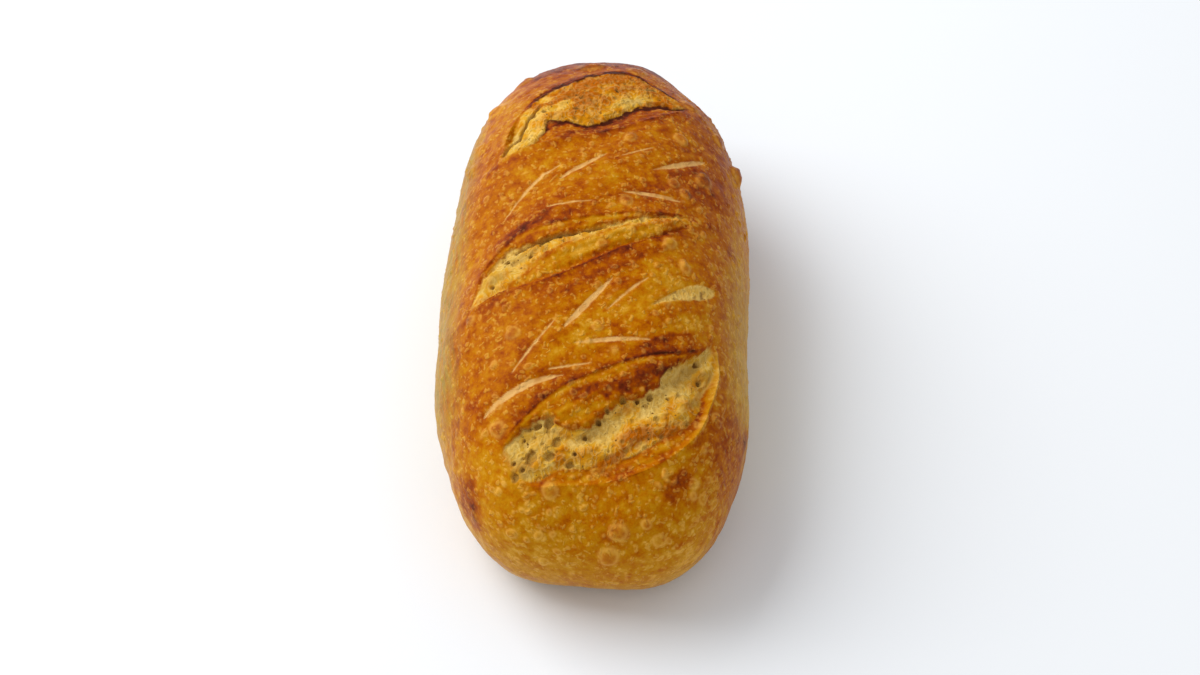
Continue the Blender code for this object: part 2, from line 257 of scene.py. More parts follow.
# Large blisters and warts: place, radius, height, and how much browner the middle is
BLISTERS = (
    ((36, -106, 54), 2.3, 0.6, 0.02),
    ((56.5, 51.7, 56), 5, 2.2, 0.08),
    ((43, 30, 76.8), 4.2, 1, 0.06),
    ((30.5, 23.4, 82.5), 2.6, 0.8, 0.03),
    ((34.8, 18.9, 81), 2.4, 0.8, 0.05),
    ((13.3, 45.9, 84.2), 2.6, 0.7, 0.02),
    ((33.7, 49.6, 79.6), 3, 0.8, 0),
    ((28, -9, 82.3), 2.8, 1.1, -0.1),
    ((33.8, -18.6, 79.6), 2.8, 0.8, 0.03),
    ((-30.7, -49.8, 79), 3, 0.6, 0.04),
    ((-35.9, -85, 67.2), 3.6, 0.6, 0.04),
    ((8.3, -117.6, 48.9), 3.6, 0.9, 0.04),
    ((4.7, -121.3, 39.4), 3.8, 0.7, 0.08),
    ((22.7, -118.2, 44.7), 2.4, 0.6, 0),
    ((18, -115.7, 50.8), 2, 0.5, 0.02),
    ((-30.3, -114.7, 43.3), 2, 0.5, 0.02),
    ((-20.5, -117.4, 45.7), 1.7, 0.5, -0.04),
    ((-16, -117.9, 46.6), 1.8, 0.5, -0.02),
    ((-19.1, -120.5, 33.9), 2, 0.5, 0),
    ((-16.5, -107.5, 59.5), 3.2, 0.6, 0.02),
    ((-47, -37.4, 71.7), 2.6, 0.9, 0.16),
    ((11.5, 9.9, 85.7), 2.6, 0.6, 0.02),
    ((-30, 99, 64), 4.5, 1, 0.04),
    ((-2, 101, 70.9), 5.5, 1.2, 0.04),
    ((17, 95, 72), 4, 0.8, 0.04),
    ((-40.8, 79.9, 65.1), 5, 1.3, 0.02),
    ((-47.5, 57, 66), 3.8, 1, 0),
    ((-51, 47.5, 64), 3.4, 0.9, 0),
    ((38, 76, 70.5), 4, 1, 0.04),
    ((49.5, 63, 65), 4, 1.1, 0.04),
)
BLISTER_FOOT = 1.3  # how many radii a blister's foot reaches
BLISTER_BEND = 0.9  # how far blisters are bent out of round
BEND_SIZE = 4.5
BEND_SHIFTS = (27, 28, 29)
BLISTER_RIM = 0.85  # of a blister's pale rim, in radii
BLISTER_RIM_WIDTH = 0.22
BLISTER_PALENESS = 0.75
BLISTER_MIDDLE = 1.1

# Small blisters all over the crust: spacing, smallest and largest radius, height, and the share
# of places that have one
SMALL_BLISTERS = (
    (7.5, 1, 2.4, 0.55, 0.5),
    (3.9, 0.6, 1.5, 0.55, 0.65),
    (2.1, 0.4, 0.8, 0.30, 0.65),
)
BLISTER_LEAST_HEIGHT = 0.4  # share of the height that the smallest have
BLISTER_SHARE = 0.75  # how the share varies over the loaf, within limits
BLISTER_VARIES = (0.5, 14.0, 30)
BLISTER_LIMITS = (0.3, 1.3)
UPRIGHT_LEAST = 0.2  # small blisters are this flat where the crust faces down
UPRIGHT_FAR = -0.6

# Holes in the torn crumb: place in plan, radius and depth
HOLES = (
    ((-23.5, -96.3), 2.5, 2.2),
    ((-16.3, -96.6), 1.7, 1.5),
    ((-28.9, -101.3), 1.5, 1.4),
    ((-9.1, -99.2), 1.5, 1.5),
    ((-13.9, -92.4), 1.7, 1.5),
    ((-21, -85.8), 1.4, 2),
    ((-16.8, -85.2), 2, 1.8),
    ((-7.4, -96.1), 0.9, 1.3),
    ((-26.2, -99.9), 0.9, 1),
    ((-29.3, -97.3), 0.8, 0.9),
    ((-3.8, -90.8), 0.9, 1.2),
    ((0.8, -85.2), 1.1, 1.6),
    ((4.1, -81.3), 1, 1.3),
    ((10, -77.1), 1.3, 1.7),
    ((15.2, -77.4), 1, 1.3),
    ((20.3, -75), 1.3, 1.6),
    ((39.3, -56.6), 1.1, 1.2),
    ((40, -63.9), 1.1, 1.2),
    ((27.5, -74.5), 0.7, 0.8),
    ((-26.2, -90.3), 0.8, 0.9),
    ((-17.9, -7.6), 1.3, 1.8),
    ((-24.6, -15.5), 1.1, 1.4),
    ((-31.1, -16.2), 1.9, 1.2),
    ((-38, -26.9), 0.7, 0.8),
    ((-20.7, -10.2), 1, 1.4),
    ((-13.5, -7.2), 0.8, 1),
    ((-7.8, -5.7), 0.7, 0.9),
    ((-2.3, -5), 0.7, 0.9),
    ((1.5, -3.9), 0.7, 0.9),
    ((-34, -14.6), 0.8, 1),
    ((-5.3, 71.2), 1.4, 1.3),
    ((-7.6, 63.7), 1, 1),
    ((-20.4, 63.1), 0.9, 1),
    ((8.5, 76.6), 0.9, 0.9),
    ((23.8, 81.2), 0.8, 0.9),
)
BIG_HOLE = 1.2  # from this radius on, a hole's bottom shows, with less painted shade than its wall
# Painted shade in the holes: in small ones, and at a large one's bottom and wall
SMALL_HOLE_SHADE = 0.88
HOLE_BOTTOM_SHADE = 0.55
HOLE_WALL_SHADE = 0.3
WALL_PLACE = 0.8  # where the wall is, as a share of the hole's radius
WALL_WIDTH = 0.2
WALL_NOISE = (3.0, 34)  # size and shift
WALL_LEAST = 0.6
HOLE_RIM = 1.2  # share of the radius at which a hole begins
HOLE_SLOPE = 0.6
HOLE_LEAST = 0.3

# Narrow crevices where the crumb tore from the skin: path in plan, half width and depth
CREVICES = (
    (((-36, 41.5), (-33, 48), (-30, 54), (-26, 60.5), (-22, 67)), 0.65, 1.4),
    (((-31, -11), (-20.5, -8.6), (-12, -6.4), (-2, -4.6), (4, -2.8)), 0.6, 1.2),
)
CREVICE_RIM = 1.4
CREVICE_LEAST = 0.1
# painted shade in the crevices
CREVICE_SHADE = 0.8

# Patches of the openings and of the crust beside them that are browner, more toasted or carry
# more painted shade in the crumb's hollows: middle, half length along the slashes, half width, and
# by how much
BAKE_PATCHES = (
    ((14, 4), 26, 8, -0.08),
    ((20, -34), 24, 10, -0.12),
    ((30, -46), 12, 4, -0.08),
    ((-20, 30), 14, 6, -0.06),
    ((38, 27), 14, 12, 0.11),
    ((-3, -54), 8, 5, -0.14),
    ((-20, -62), 9, 4, -0.10),
    ((38, -44), 9, 6, -0.12),
    ((9, -31), 6, 4, 0.10),
    ((18, -3.5), 18, 4.5, -0.12),
    ((-31, 56), 10, 9, -0.06),
    ((17, -68.5), 14, 4.5, 0.24),
    ((2, -74.5), 7, 3.5, 0.16),
    ((-6, -75.5), 4.5, 2.2, 0.20),
    ((26, -52), 13, 1.6, 0.16),
    ((-24, 1.5), 13, 2.4, 0.12),
    ((-2, 8), 14, 1.6, 0.10),
    ((-8, -16), 20, 3.4, -0.14),
    ((10, -20.5), 20, 2.4, 0.12),
    ((-1, 52), 20, 2.2, 0.10),
    ((9, 63.5), 22, 1.6, 0.22),
    ((-12, 56), 8, 1.4, 0.22),
    ((16.8, 14), 8, 6, 0.14),
    ((25.8, -8.5), 9, 4, -0.08),
)
TOAST_PATCHES = (
    ((17.7, -88.3), 6, 3.2, 0.55),
    ((-12.9, -95.9), 4, 2, 0.55),
    ((-14.6, -101.3), 9, 2.2, 0.55),
    ((1.3, -100.1), 14, 1.8, 0.5),
    ((30.9, -85), 14, 2.6, 0.45),
    ((9, -91), 5, 3, 0.25),
    ((-7, -15), 7, 3, 0.30),
    ((-12.6, 71.6), 9, 2, 0.40),
    ((-3.7, 79.6), 9, 3, 0.40),
    ((12, 90), 20, 3.5, 0.35),
    ((26, -74), 9, 5, -0.35),
    ((6, -86), 8, 2, -0.3),
    ((0, -7.5), 14, 1.6, -0.5),
    ((14, -9.5), 14, 1.6, -0.4),
    ((14, 62), 14, 3, 0.2),
    ((15.5, 71.5), 11, 3, -0.55),
    ((-16, 65), 7, 3, -0.35),
    ((-2, 72), 5, 5, 0.2),
    ((-22, -92), 12, 6, 0.15),
    ((-10, -88), 3.5, 4, 0.5),
)
HOLLOW_SHADE_PATCHES = (
    ((15.5, 71.5), 8, 1.5, 0.3),
    ((21.8, 80.4), 3, 1, 0.85),
    ((-1, -88.5), 9, 2.2, 0.36),
    ((13, -79.5), 10, 1.8, 0.36),
    ((-27.5, -100), 6, 4, 0.55),
    ((-18, -92), 7, 3.5, 0.35),
    ((-33.2, -94.9), 2.5, 2.5, 0.25),
    ((40.5, -61.5), 4.5, 1.8, 0.4),
    ((37, -73.5), 4, 2.2, 0.4),
    ((-27.5, -14.8), 8, 2.4, 0.50),
    ((-38, -23), 6, 3, 0.45),
)
PATCHES = {"bake": BAKE_PATCHES, "toast": TOAST_PATCHES, "hollow_shade": HOLLOW_SHADE_PATCHES}
SOFT_EDGE = 1.4  # patches and spots end at this many times their size

# Browned spots on the sides and ends: place, radius and strength
SPOTS = (
    ((-47, -98, 46), 6.5, 0.22),
    ((-46, -102, 37), 7.5, 0.3),
    ((-52, -92, 38), 7, 0.20),
    ((56.4, -71.3, 41), 4.5, 0.24),
    ((53.5, 2, 65), 4.5, 0.14),
    ((29, -105.5, 58), 6, 0.2),
    ((31.5, -102.5, 59.5), 4.5, 0.14),
    ((34.5, -98.5, 61.5), 4.5, 0.14),
    ((27.5, -108.5, 55.5), 4.5, 0.1),
    ((-11.2, -115.3, 51.9), 2.4, 0.14),
    ((2.8, -114.7, 53.1), 2.4, 0.10),
)
WART_EDGE = (25.3, -104.0, 60.2)  # the knobbly edge of the wart at the near end
WART_SIZE = 3.8
WART_REACH = 1.5
WART_KNOBS = (1.8, 2.0, 26)
WART_HEIGHT = 0.8
WART_PALENESS = 0.9

# Where the crust as a whole is browner, paler, floury (a tint that is partly painted sheen) or full
# of blisters: by how much, and the limits it lies past. Each limit is a direction, where along it
# the change sets in, and over what length. "sideways" and "up" are how much the surface faces that
# way.
SIDE = ("sideways", 0.68, 0.28)
BAKE_REGIONS = (
    (0.16, (("right", 30, 20), ("near", 60, 30))),
    (-0.09, (("near", 70, 30),)),
    # paler on the right side: painted light that lifts the shade on the side facing away from the
    # key light
    (-0.16, (SIDE, ("right", 40, 10), ("near", -60, 30), ("far", -75, 20))),
    (0.06, (("right", 25, 20), ("far", -10, 30))),
    (0.03, (("far", 78, 15),)),
    (0.24, (("far", 90, 14),)),
    (-0.10, (("down", -58, 38),)),
    (-0.02, (SIDE,)),
)
# floury tint on the sides, partly painted sheen, strongest on the left side
FLOUR_AND_SHEEN_LEFT = ((0.15, (SIDE,)), (0.85, (SIDE, ("far", -85, 35))))
FLOUR_AND_SHEEN_RIGHT = ((0.5, (SIDE, ("near", -20, 40), ("far", -85, 30))),)
BLISTER_REGIONS = ((0.35, (("near", 70, 30),)), (0.3, (("right", 20, 20),)))  # added to the share
UPRIGHT_REGIONS = ((0.8, (("up", -0.1, 0.5),)),)  # added to the small blisters' height
FAR_END = (("far", 75, 15),)

# Noise that is drawn out along the slashes: strength, length, width and shift
CRUMB_STRANDS = (0.55, 9.0, 3.2, 7)
SKIN_RIPPLES = (0.22, 12.0, 1.6, 11)
SKIN_STREAKS = (0.10, 13.0, 1.9, 31)
CRUST_RIDGES = (1.0, 26.0, 6.5, 15)
CRUST_STREAKS = (0.06, 15.0, 4.0, 32)
RIDGE_HEIGHT = 0.3
RIDGE_BAKE = 0.05

# Sums of round noise: strength, size and shift of each
RAGGED_NOISE = ((1.1, 6.0, 1), (0.7, 2.6, 2), (0.5, 1.3, 3))
CRUMB_NOISE = ((0.35, 5.0, 8), (0.35, 2.4, 9), (0.15, 1.2, 10))
SKIN_NOISE = ((0.1, 2.0, 12),)
TOAST_NOISE = ((0.45, 10.0, 5), (0.45, 4.6, 6))
HOLE_NOISE = ((0.45, 2.2, 13), (0.25, 1.1, 24))
CREVICE_NOISE = ((0.7, 3.0, 21),)
NICK_NOISE = ((1.0, 3.2, 14), (0.5, 1.3, 22))
CRUST_NOISE = ((0.22, 7.0, 16), (0.1, 2.4, 17))
CLOUD_NOISE = ((0.07, 34.0, 19), (0.035, 17.0, 20), (0.0175, 8.5, 21))
MOTTLE_NOISE = ((0.08, 4.2, 33), (0.05, 2.0, 35))
PATCH_NOISE = ((0.3, 5.0, 20), (0.3, 1.8, 23))

# Pores of the torn crumb: spacing, shift, smallest radius, how much larger the largest is, how
# strongly small ones prevail, share of places without one, depth and painted shade
PORES = (
    (3.4, 1, 0.50, 1.1, 2, 0.35, 0.8, 0.50),
    (1.5, 2, 0.25, 0.4, 1, 0.50, 0.3, 0.45),
)
PORE_RIM = 1.25

# Browning of the crust
PLAIN_BAKE = 0.59
BASE_BAKE = 0.4
UPRIGHT_STREAK = (1.2, 11.0, 1.2)  # size along X, Y and Z of the streaks on the sides
UPRIGHT_SHIFT = 18
SIDE_STREAK_BAKE = 0.07
FLOUR_AND_SHEEN_SHARE = 0.6
FLOUR_AND_SHEEN_STREAKS = 0.5

# What the surface carries at each point, for its relief and for its colours
RELIEF_FIELDS = ("height", "lean_x", "lean_y")
COLOUR_FIELDS = ("bake", "crumb", "toast", "hollow_shade", "cut", "blister", "flour_and_sheen", "low")

# Colours as they show in full light, along the browning and along the toasting
CRUST_STOPS = (
    (0.00, (228, 184, 104)),
    (0.25, (208, 154, 52)),
    (0.42, (188, 126, 10)),
    (0.58, (174, 96, 0)),
    (0.72, (148, 64, 4)),
    (0.86, (110, 40, 16)),
    (1.00, (68, 24, 12)),
)
CRUMB_STOPS = (
    (0.00, (206, 164, 76)),
    (0.25, (208, 156, 44)),
    (0.60, (202, 132, 14)),
    (1.00, (172, 90, 4)),
)
# painted shade in the crumb's hollows
HOLLOW_SHADE_COLOUR = (164, 124, 58)
FIBRE_COLOUR = (238, 206, 124)
# darker painted shade in the crumb's pores
PORE_SHADE_COLOUR = (104, 60, 16)
CUT_COLOUR = (214, 166, 98)
# pale blister rims, partly painted glints
BLISTER_RIM_AND_GLINT_COLOUR = (228, 172, 78)
# floury tint on the sides, partly painted sheen
FLOUR_AND_SHEEN_COLOUR = (152, 150, 74)
GLOSS_COLOUR = (255, 196, 120)
UNDERSIDE_COLOUR = (196, 160, 112)

# What lies over crust and crumb: its field, how strongly it covers, how mottled its edge is,
# and its colour
COVERS = (
    ("cut", 1, 0.8, CUT_COLOUR),
    ("low", 1.6, 1, UNDERSIDE_COLOUR),
)

# The material's fine patterns, whose scales are in cells to a metre. Spots are given by the
# scale and reach of what bends them, their own scale, spread, least size and sharpness.
SPECKLE_SCALE = 900.0
MOTTLE_SCALE = 280.0
BUBBLES = (340.0, 0.005, 380.0, 0.5, 0.0, 4.0)
# small dark pores in the shader: painted shade
PORE_SPOTS = (500.0, 0.0016, 600.0, 0.7, -0.38, 6.0)
FIBRE_SCALE = 300.0
FIBRE_STRETCH = (1.0, 0.7, 0.7)
FIBRE_BEND = 1.2
FIBRE_THINNESS = 9.0

# What the patterns add to browning, toasting and relief
PATTERN_BAKE = {"mottle": 0.5, "speckle": 0.25, "bubble": -0.09}
PATTERN_TOAST = {"mottle": 0.6, "speckle": 0.4}
CRUST_LEVEL = {"speckle": 0.7, "bubble": 0.9}
CRUMB_LEVEL = {"speckle": 1.4, "hollow_shade": -1.2, "mottle": 1.2, "fibre": 0.6}
BUMP_STRENGTH = 0.7
BUMP_DEPTH = 0.4 * MM
# pale rims of the small bubbles: partly paler skin, partly painted glints
BUBBLE_RIM_GLINT = (1.25, 1.4)
BLISTERS_BY_BAKE = (-1.1, 1.15)  # slope and start: the browner, the less their rims show
FIBRES_BY_TOAST = (-0.3, 0.5)
FLOUR_AND_SHEEN_COVER = 0.7
HOLLOW_SHADE_COVER = 1.2
PORE_SHADE_FROM = 0.66  # painted shade at which a pore begins to take the dark pore colour
PORE_SHADE_COVER = 2.6
CRUST_ROUGHNESS = 0.36
CRUMB_ROUGHER = 0.40
GLOSS = 0.05

# Light and camera. The target is the point that lies in the middle of the picture.
CAMERA_UP = math.radians(50)  # how far the camera looks down
CAMERA_AWAY = 0.9
CAMERA_LENS = 68.85
CAMERA_NEAREST = 0.01
TARGET_HEIGHT = 0.043
TARGET_RIGHT = 0.00157
TARGET_UP = -0.01685  # along the picture
FLOOR_SIZE = 12.0
FLOOR_WHITE = (0.87, 0.9, 0.935)
FLOOR_ROUGHNESS = 0.9
WORLD_STRENGTH = 0.60
KEY_POWER = 31.0
KEY_SIZE = 1.5
KEY_AWAY = 1.8
KEY_HEIGHT_ANGLE = math.radians(45)
KEY_TURN = math.radians(155)  # from the X axis, towards Y

# Noise is drawn once, as a cube of random values that repeats
TABLE = 48
RANDOM = np.random.default_rng(11)
GRADIENTS = RANDOM.normal(size=(TABLE, TABLE, TABLE, 3))
GRADIENTS /= np.linalg.norm(GRADIENTS, axis=-1, keepdims=True)
SCATTER = RANDOM.random((TABLE, TABLE, TABLE, 3))
NUMBERS = RANDOM.random((TABLE, TABLE, TABLE))
NOISE_GAIN = 1.6
SHIFT_CELLS = 17.3  # between the noise of one shift and that of the next


def eased(share):
    """0 to 1 with level ends."""
    share = np.clip(share, 0, 1)
    return share * share * (3 - 2 * share)


def table_values(table, cell):
    cell = cell % TABLE
    return table[cell[..., 0], cell[..., 1], cell[..., 2]]


def noise(points, size, shift=0.0):
    """Smooth noise from about -1 to 1, with lumps of about half the size."""
    scaled = points / size + shift * SHIFT_CELLS
    cell = np.floor(scaled).astype(int)
    inside = scaled - cell
    weight = inside**3 * (inside * (inside * 6 - 15) + 10)
    total = np.zeros(points.shape[:-1])
    for corner in itertools.product((0, 1), repeat=3):
        gradient = table_values(GRADIENTS, cell + corner)
        share = np.prod(np.where(corner, weight, 1 - weight), axis=-1)
        total += share * np.sum(gradient * (inside - corner), axis=-1)
    return total * NOISE_GAIN


def scattered(points, spacing, shift=0.0):
    """Distance to the nearest of spots scattered one to a cell, and that spot's own number."""
    scaled = points / spacing + shift * SHIFT_CELLS
    cell = np.floor(scaled).astype(int)
    nearest = np.full(points.shape[:-1], np.inf)
    number = np.zeros(points.shape[:-1])
    for step in itertools.product((-1, 0, 1), repeat=3):
        at = cell + step
        away = np.linalg.norm(scaled - at - table_values(SCATTER, at), axis=-1)
        closer = away < nearest
        nearest = np.where(closer, away, nearest)
        number = np.where(closer, table_values(NUMBERS, at), number)
    return nearest * spacing, number


def along_slashes(points, stretch, narrow):
    """Places turned to the slashes and divided by a length along them and one across them."""
    cosine, sine = math.cos(SLASH_TURN), math.sin(SLASH_TURN)
    x, y, z = points[..., 0], points[..., 1], points[..., 2]
    turned = [(x * cosine + y * sine) / stretch, (y * cosine - x * sine) / narrow, z / narrow]
    return np.stack(turned, axis=-1)


def bell(away, width):
    """1 at no distance, dying away over a width to both sides."""
    return np.exp(-((away / width) ** 2))


def noise_sum(points, parts):
    """Noises added up, each given by its strength, size and shift."""
    return sum(strength * noise(points, size, shift) for strength, size, shift in parts)


def drawn_out(points, strength, length, width, shift):
    """Noise whose lumps are drawn out along the slashes."""
    return strength * noise(along_slashes(points, length, width), 1.0, shift)


def directions(points, normal):
    """How far points lie towards each side, and which way the surface faces there."""
    x, y, z = points[..., 0], points[..., 1], points[..., 2]
    facing = {"sideways": np.abs(normal[..., 0]), "up": normal[..., 2]}
    return {"right": x, "far": y, "near": -y, "down": -z, **facing}


def region(toward, limits):
    """1 past all the limits, each of them a direction, a start and a length."""
    shares = [eased((toward[name] - start) / length) for name, start, length in limits]
    return np.prod(shares, axis=0)


def regional(toward, regions):
    """The sum of what holds in each region."""
    return sum(amount * region(toward, limits) for amount, limits in regions)


def squared_radius(cosine, sine, squareness):
    """Radius of a superellipse of half size 1 in the given direction."""
    return (np.abs(cosine) ** squareness + np.abs(sine) ** squareness) ** (-1 / squareness)


def between_ends(sine, near_and_far):
    """A value that passes from the near end's to the far end's."""
    near, far = near_and_far
    return near + (far - near) * eased((sine + 1) / 2)


def disc_places(across, along):
    """Where places of the flat square lie on the disc: 1 is the waist and RIM the base's edge."""
    disc_across = across * np.sqrt(1 - along**2 / 2)
    disc_along = along * np.sqrt(1 - across**2 / 2)
    radius = np.hypot(disc_across, disc_along)
    below = 1 + (RIM - 1) * (radius - WAIST_SHARE) / (1 - WAIST_SHARE)
    wide = np.where(radius < WAIST_SHARE, radius / WAIST_SHARE, below)
    scale = wide / np.maximum(radius, TINY)
    return disc_across * scale, disc_along * scale


def plain_loaf(across, along):
    """Points of the plain loaf for places on the disc."""
    radius = np.hypot(across, along)
    centre = radius < TINY
    cosine = np.where(centre, 1.0, across / np.maximum(radius, TINY))
    sine = np.where(centre, 0.0, along / np.maximum(radius, TINY))
    plan = squared_radius(cosine, sine, between_ends(sine, PLAN_SQUARENESS))

    climb = np.clip(radius, 0, 1) * math.pi / 2
    dome_squareness = between_ends(sine, DOME_SQUARENESS)
    dome = squared_radius(np.sin(climb), np.cos(climb), dome_squareness)
    reach = np.sin(climb) * dome
    dome_height = WAIST_HEIGHT + (HEIGHT - WAIST_HEIGHT) * np.cos(climb) * dome

    turn = np.clip((radius - 1) / (RIM - 1), 0, 1) * math.pi / 2
    inset = 1 - np.cos(turn)
    z = np.where(radius > 1, WAIST_HEIGHT * (1 - np.sin(turn)), dome_height)
    x = cosine * plan * (WIDTH / 2 * reach - BASE_INSET_SIDES * inset)
    y = sine * plan * (LENGTH / 2 * reach - BASE_INSET_ENDS * inset)
    end = y / (LENGTH / 2)
    x = x + SWAY * end - SWAY_RETURN * end * np.abs(end)
    return np.stack([x, y, z], axis=-1)


def outward(across, along):
    """Unit normals of the plain loaf."""
    by_across = plain_loaf(across + STEP, along) - plain_loaf(across - STEP, along)
    by_along = plain_loaf(across, along + STEP) - plain_loaf(across, along - STEP)
    normal = np.cross(by_across, by_along)
    return normal / np.maximum(np.linalg.norm(normal, axis=-1, keepdims=True), TINY)


def lip_offset(offsets, share):
    """A lip's distance from the line between the tips, smoothed through its given offsets."""
    known = np.array([-offsets[0], 0.0, *offsets, 0.0, -offsets[-1]])
    place = np.arccos(1 - 2 * np.clip(share, 0, 1)) / math.pi * (len(offsets) + 1)
    first = np.clip(np.floor(place).astype(int), 0, len(offsets))
    t = place - first
    before, start, end, after = (known[first + k] for k in range(4))
    curve = 2 * start + (end - before) * t
    curve = curve + (2 * before - 5 * start + 4 * end - after) * t**2
    curve = curve + (3 * start - before - 3 * end + after) * t**3
    return curve / 2


def line_frame(start, end, x, y):
    """Share along the line between two places, and distance beyond it, in plan."""
    length = math.dist(start, end)
    cosine, sine = (end[0] - start[0]) / length, (end[1] - start[1]) / length
    from_x, from_y = x - start[0], y - start[1]
    return (from_x * cosine + from_y * sine) / length, from_y * cosine - from_x * sine


def axis_across(start, end):
    """Unit vector across the line between two places, to its left, flat in plan."""
    length = math.dist(start, end)
    return np.array([(start[1] - end[1]) / length, (end[0] - start[0]) / length, 0.0])


def opening_place(opening, x, y):
    """Share along, distance past the far lip, and distance past the near lip."""
    share, beyond = line_frame(*opening["tips"], x, y)
    past_far = beyond - lip_offset(opening["far_lip"], share)
    past_near = lip_offset(opening["near_lip"], share) - beyond
    return share, past_far, past_near


def nick_place(nick, x, y):
    """Share along a nick and distance beyond its bowed line."""
    share, beyond = line_frame(nick[0], nick[1], x, y)
    return share, beyond - nick[2] * 4 * share * (1 - share)


def smooth_profile(profile, place):
    """Heights that pass smoothly through a profile's points."""
    places, heights = np.array(profile).T
    first = np.clip(np.searchsorted(places, place, side="right") - 1, 0, len(places) - 2)
    share = eased((place - places[first]) / (places[first + 1] - places[first]))
    return heights[first] + (heights[first + 1] - heights[first]) * share


def onto_lines(points, normal):
    """Moves points that lie close to a lip or a nick's bottom onto it."""
    x, y = points[..., 0], points[..., 1]
    push = np.zeros_like(points)
    for nick in NICKS:
        share, beyond = nick_place(nick, x, y)
        close = (share > 0) & (share < 1) & (np.abs(beyond) < PULL)
        push -= np.where(close, beyond, 0)[..., None] * axis_across(nick[0], nick[1])
    for opening in OPENINGS.values():
        share, past_far, past_near = opening_place(opening, x, y)
        past = np.where(np.abs(past_far) < np.abs(past_near), past_far, -past_near)
        close = (share > 0) & (share < 1) & (np.abs(past) < PULL)
        push -= np.where(close, past, 0)[..., None] * axis_across(*opening["tips"])
    push -= normal * np.sum(push * normal, axis=-1, keepdims=True)
    return points + push * (normal[..., 2] > PULL_LEVEL)[..., None]


def new_fields(shape):
    return {name: np.zeros(shape) for name in (*RELIEF_FIELDS, *COLOUR_FIELDS)}


def raise_to(fields, name, values):
    """Gives a field the new values where they are higher."""
    fields[name] = np.maximum(fields[name], values)


def crumb_grain(points):
    """What all openings share: how torn edges wander, and the relief of crumb and skin."""
    torn, pores = torn_crumb(points)
    return SimpleNamespace(
        ragged=noise_sum(points, RAGGED_NOISE),
        torn=torn,
        pores=pores,
        skin=drawn_out(points, *SKIN_RIPPLES) + noise_sum(points, SKIN_NOISE),
        streaks=drawn_out(points, *SKIN_STREAKS),
        toast=noise_sum(points, TOAST_NOISE),
    )


def torn_crumb(points):
    """Torn crumb: its relief of strands, lumps and pores, and the painted shade in the pores."""
    relief = drawn_out(points, *CRUMB_STRANDS) + noise_sum(points, CRUMB_NOISE)
    painted_shade = np.zeros(relief.shape)
    for spacing, shift, smallest, larger, power, without, depth, pore_shade in PORES:
        away, number = scattered(points, spacing, shift)
        size = smallest + larger * number**power
        pore = eased(PORE_RIM - away / size) * (number > without)
        relief -= depth * pore
        painted_shade += pore_shade * pore
    return relief, np.clip(painted_shade, 0, 1)


def add_opening(fields, opening, points, grain):
    at = opening_zones(opening, points, grain.ragged)
    relief = opening_relief(opening, at, points, grain)
    fields["height"] += relief * at.fade
    lean_ear(fields, opening, at)
    colour_crumb(fields, opening, at, relief, grain)
    bake_lips(fields, opening, at, grain)


def opening_zones(opening, points, ragged):
    """Where points lie in an opening: along it, across it, and past its lips and skin's edges."""
    at = SimpleNamespace()
    share, at.past_far, at.past_near = opening_place(opening, points[..., 0], points[..., 1])
    at.along = np.clip(share, 0, 1)
    at.fade = eased(share / TIP_FADE) * eased((1 - share) / TIP_FADE)
    at.beside = (share > 0) & (share < 1)
    at.inside = (at.past_far < ON_LIP) & (at.past_near < ON_LIP) & at.beside
    gap = np.maximum(-at.past_far - at.past_near, LEAST_GAP)
    at.across = -at.past_near / gap

    far_edge = along_opening(opening["far_skin"], at.along) + ragged / gap
    near_edge = along_opening(opening["near_skin"], at.along)
    near_edge += opening["edge_ragged"] * ragged / gap
    at.far_edge = np.clip(far_edge, *FAR_EDGE_RANGE)
    at.near_edge = np.clip(near_edge, LEAST_NEAR_EDGE, at.far_edge - LEAST_CRUMB)
    at.past_skin = np.minimum(at.far_edge - at.across, at.across - at.near_edge) * gap
    past_smooth = (at.across - along_opening(opening["smooth_to"], at.along)) * gap
    past_smooth += SMOOTH_RAGGED * ragged
    torn = eased(at.past_skin / SKIN_BLEND + 0.5)
    at.crumb = torn * eased(past_smooth / SMOOTH_BLEND + 0.5) * at.inside
    return at


def stretched(place, start, end, low, high):
    """A value that passes evenly from low to high between two places."""
    return low + (place - start) / (end - start) * (high - low)


def profile_place(opening, at):
    """Where points lie in the opening's profile, which has the skin's edges at fixed places."""
    near_from, far_from = opening["near_skin_from"], opening["far_skin_from"]
    near_skin = stretched(at.across, 0, at.near_edge, 0, near_from)
    crumb = stretched(at.across, at.near_edge, at.far_edge, near_from, far_from)
    far_skin = stretched(at.across, at.far_edge, 1, far_from, 1)
    place = np.where(at.across < at.far_edge, crumb, far_skin)
    return np.clip(np.where(at.across < at.near_edge, near_skin, place), 0, 1)


def opening_relief(opening, at, points, grain):
    """Heights over the plain loaf, in an opening and beside its lips."""
    relief = smooth_profile(opening["profile"], profile_place(opening, at))
    (pocket_x, pocket_y), pocket_size, pocket_depth = opening["pocket"]
    away = np.hypot(points[..., 0] - pocket_x, points[..., 1] - pocket_y) / pocket_size
    relief -= pocket_depth * np.exp(-POCKET_STEEPNESS * away**2)
    relief += at.crumb * grain.torn + (1 - at.crumb) * grain.skin
    relief -= GROOVE_DEPTH * at.crumb * np.exp(-np.maximum(at.past_skin, 0) / GROOVE_WIDTH)

    ear = opening["profile"][-1][1] * np.exp(-np.maximum(at.past_far, 0) / EAR_WIDTH)
    lip = opening["profile"][0][1] * np.exp(-np.maximum(at.past_near, 0) / LIP_WIDTH)
    relief = np.where(at.inside, relief, 0)
    relief = np.where(at.beside & (at.past_far >= ON_LIP), ear, relief)
    return np.where(at.beside & (at.past_near >= ON_LIP), lip, relief)


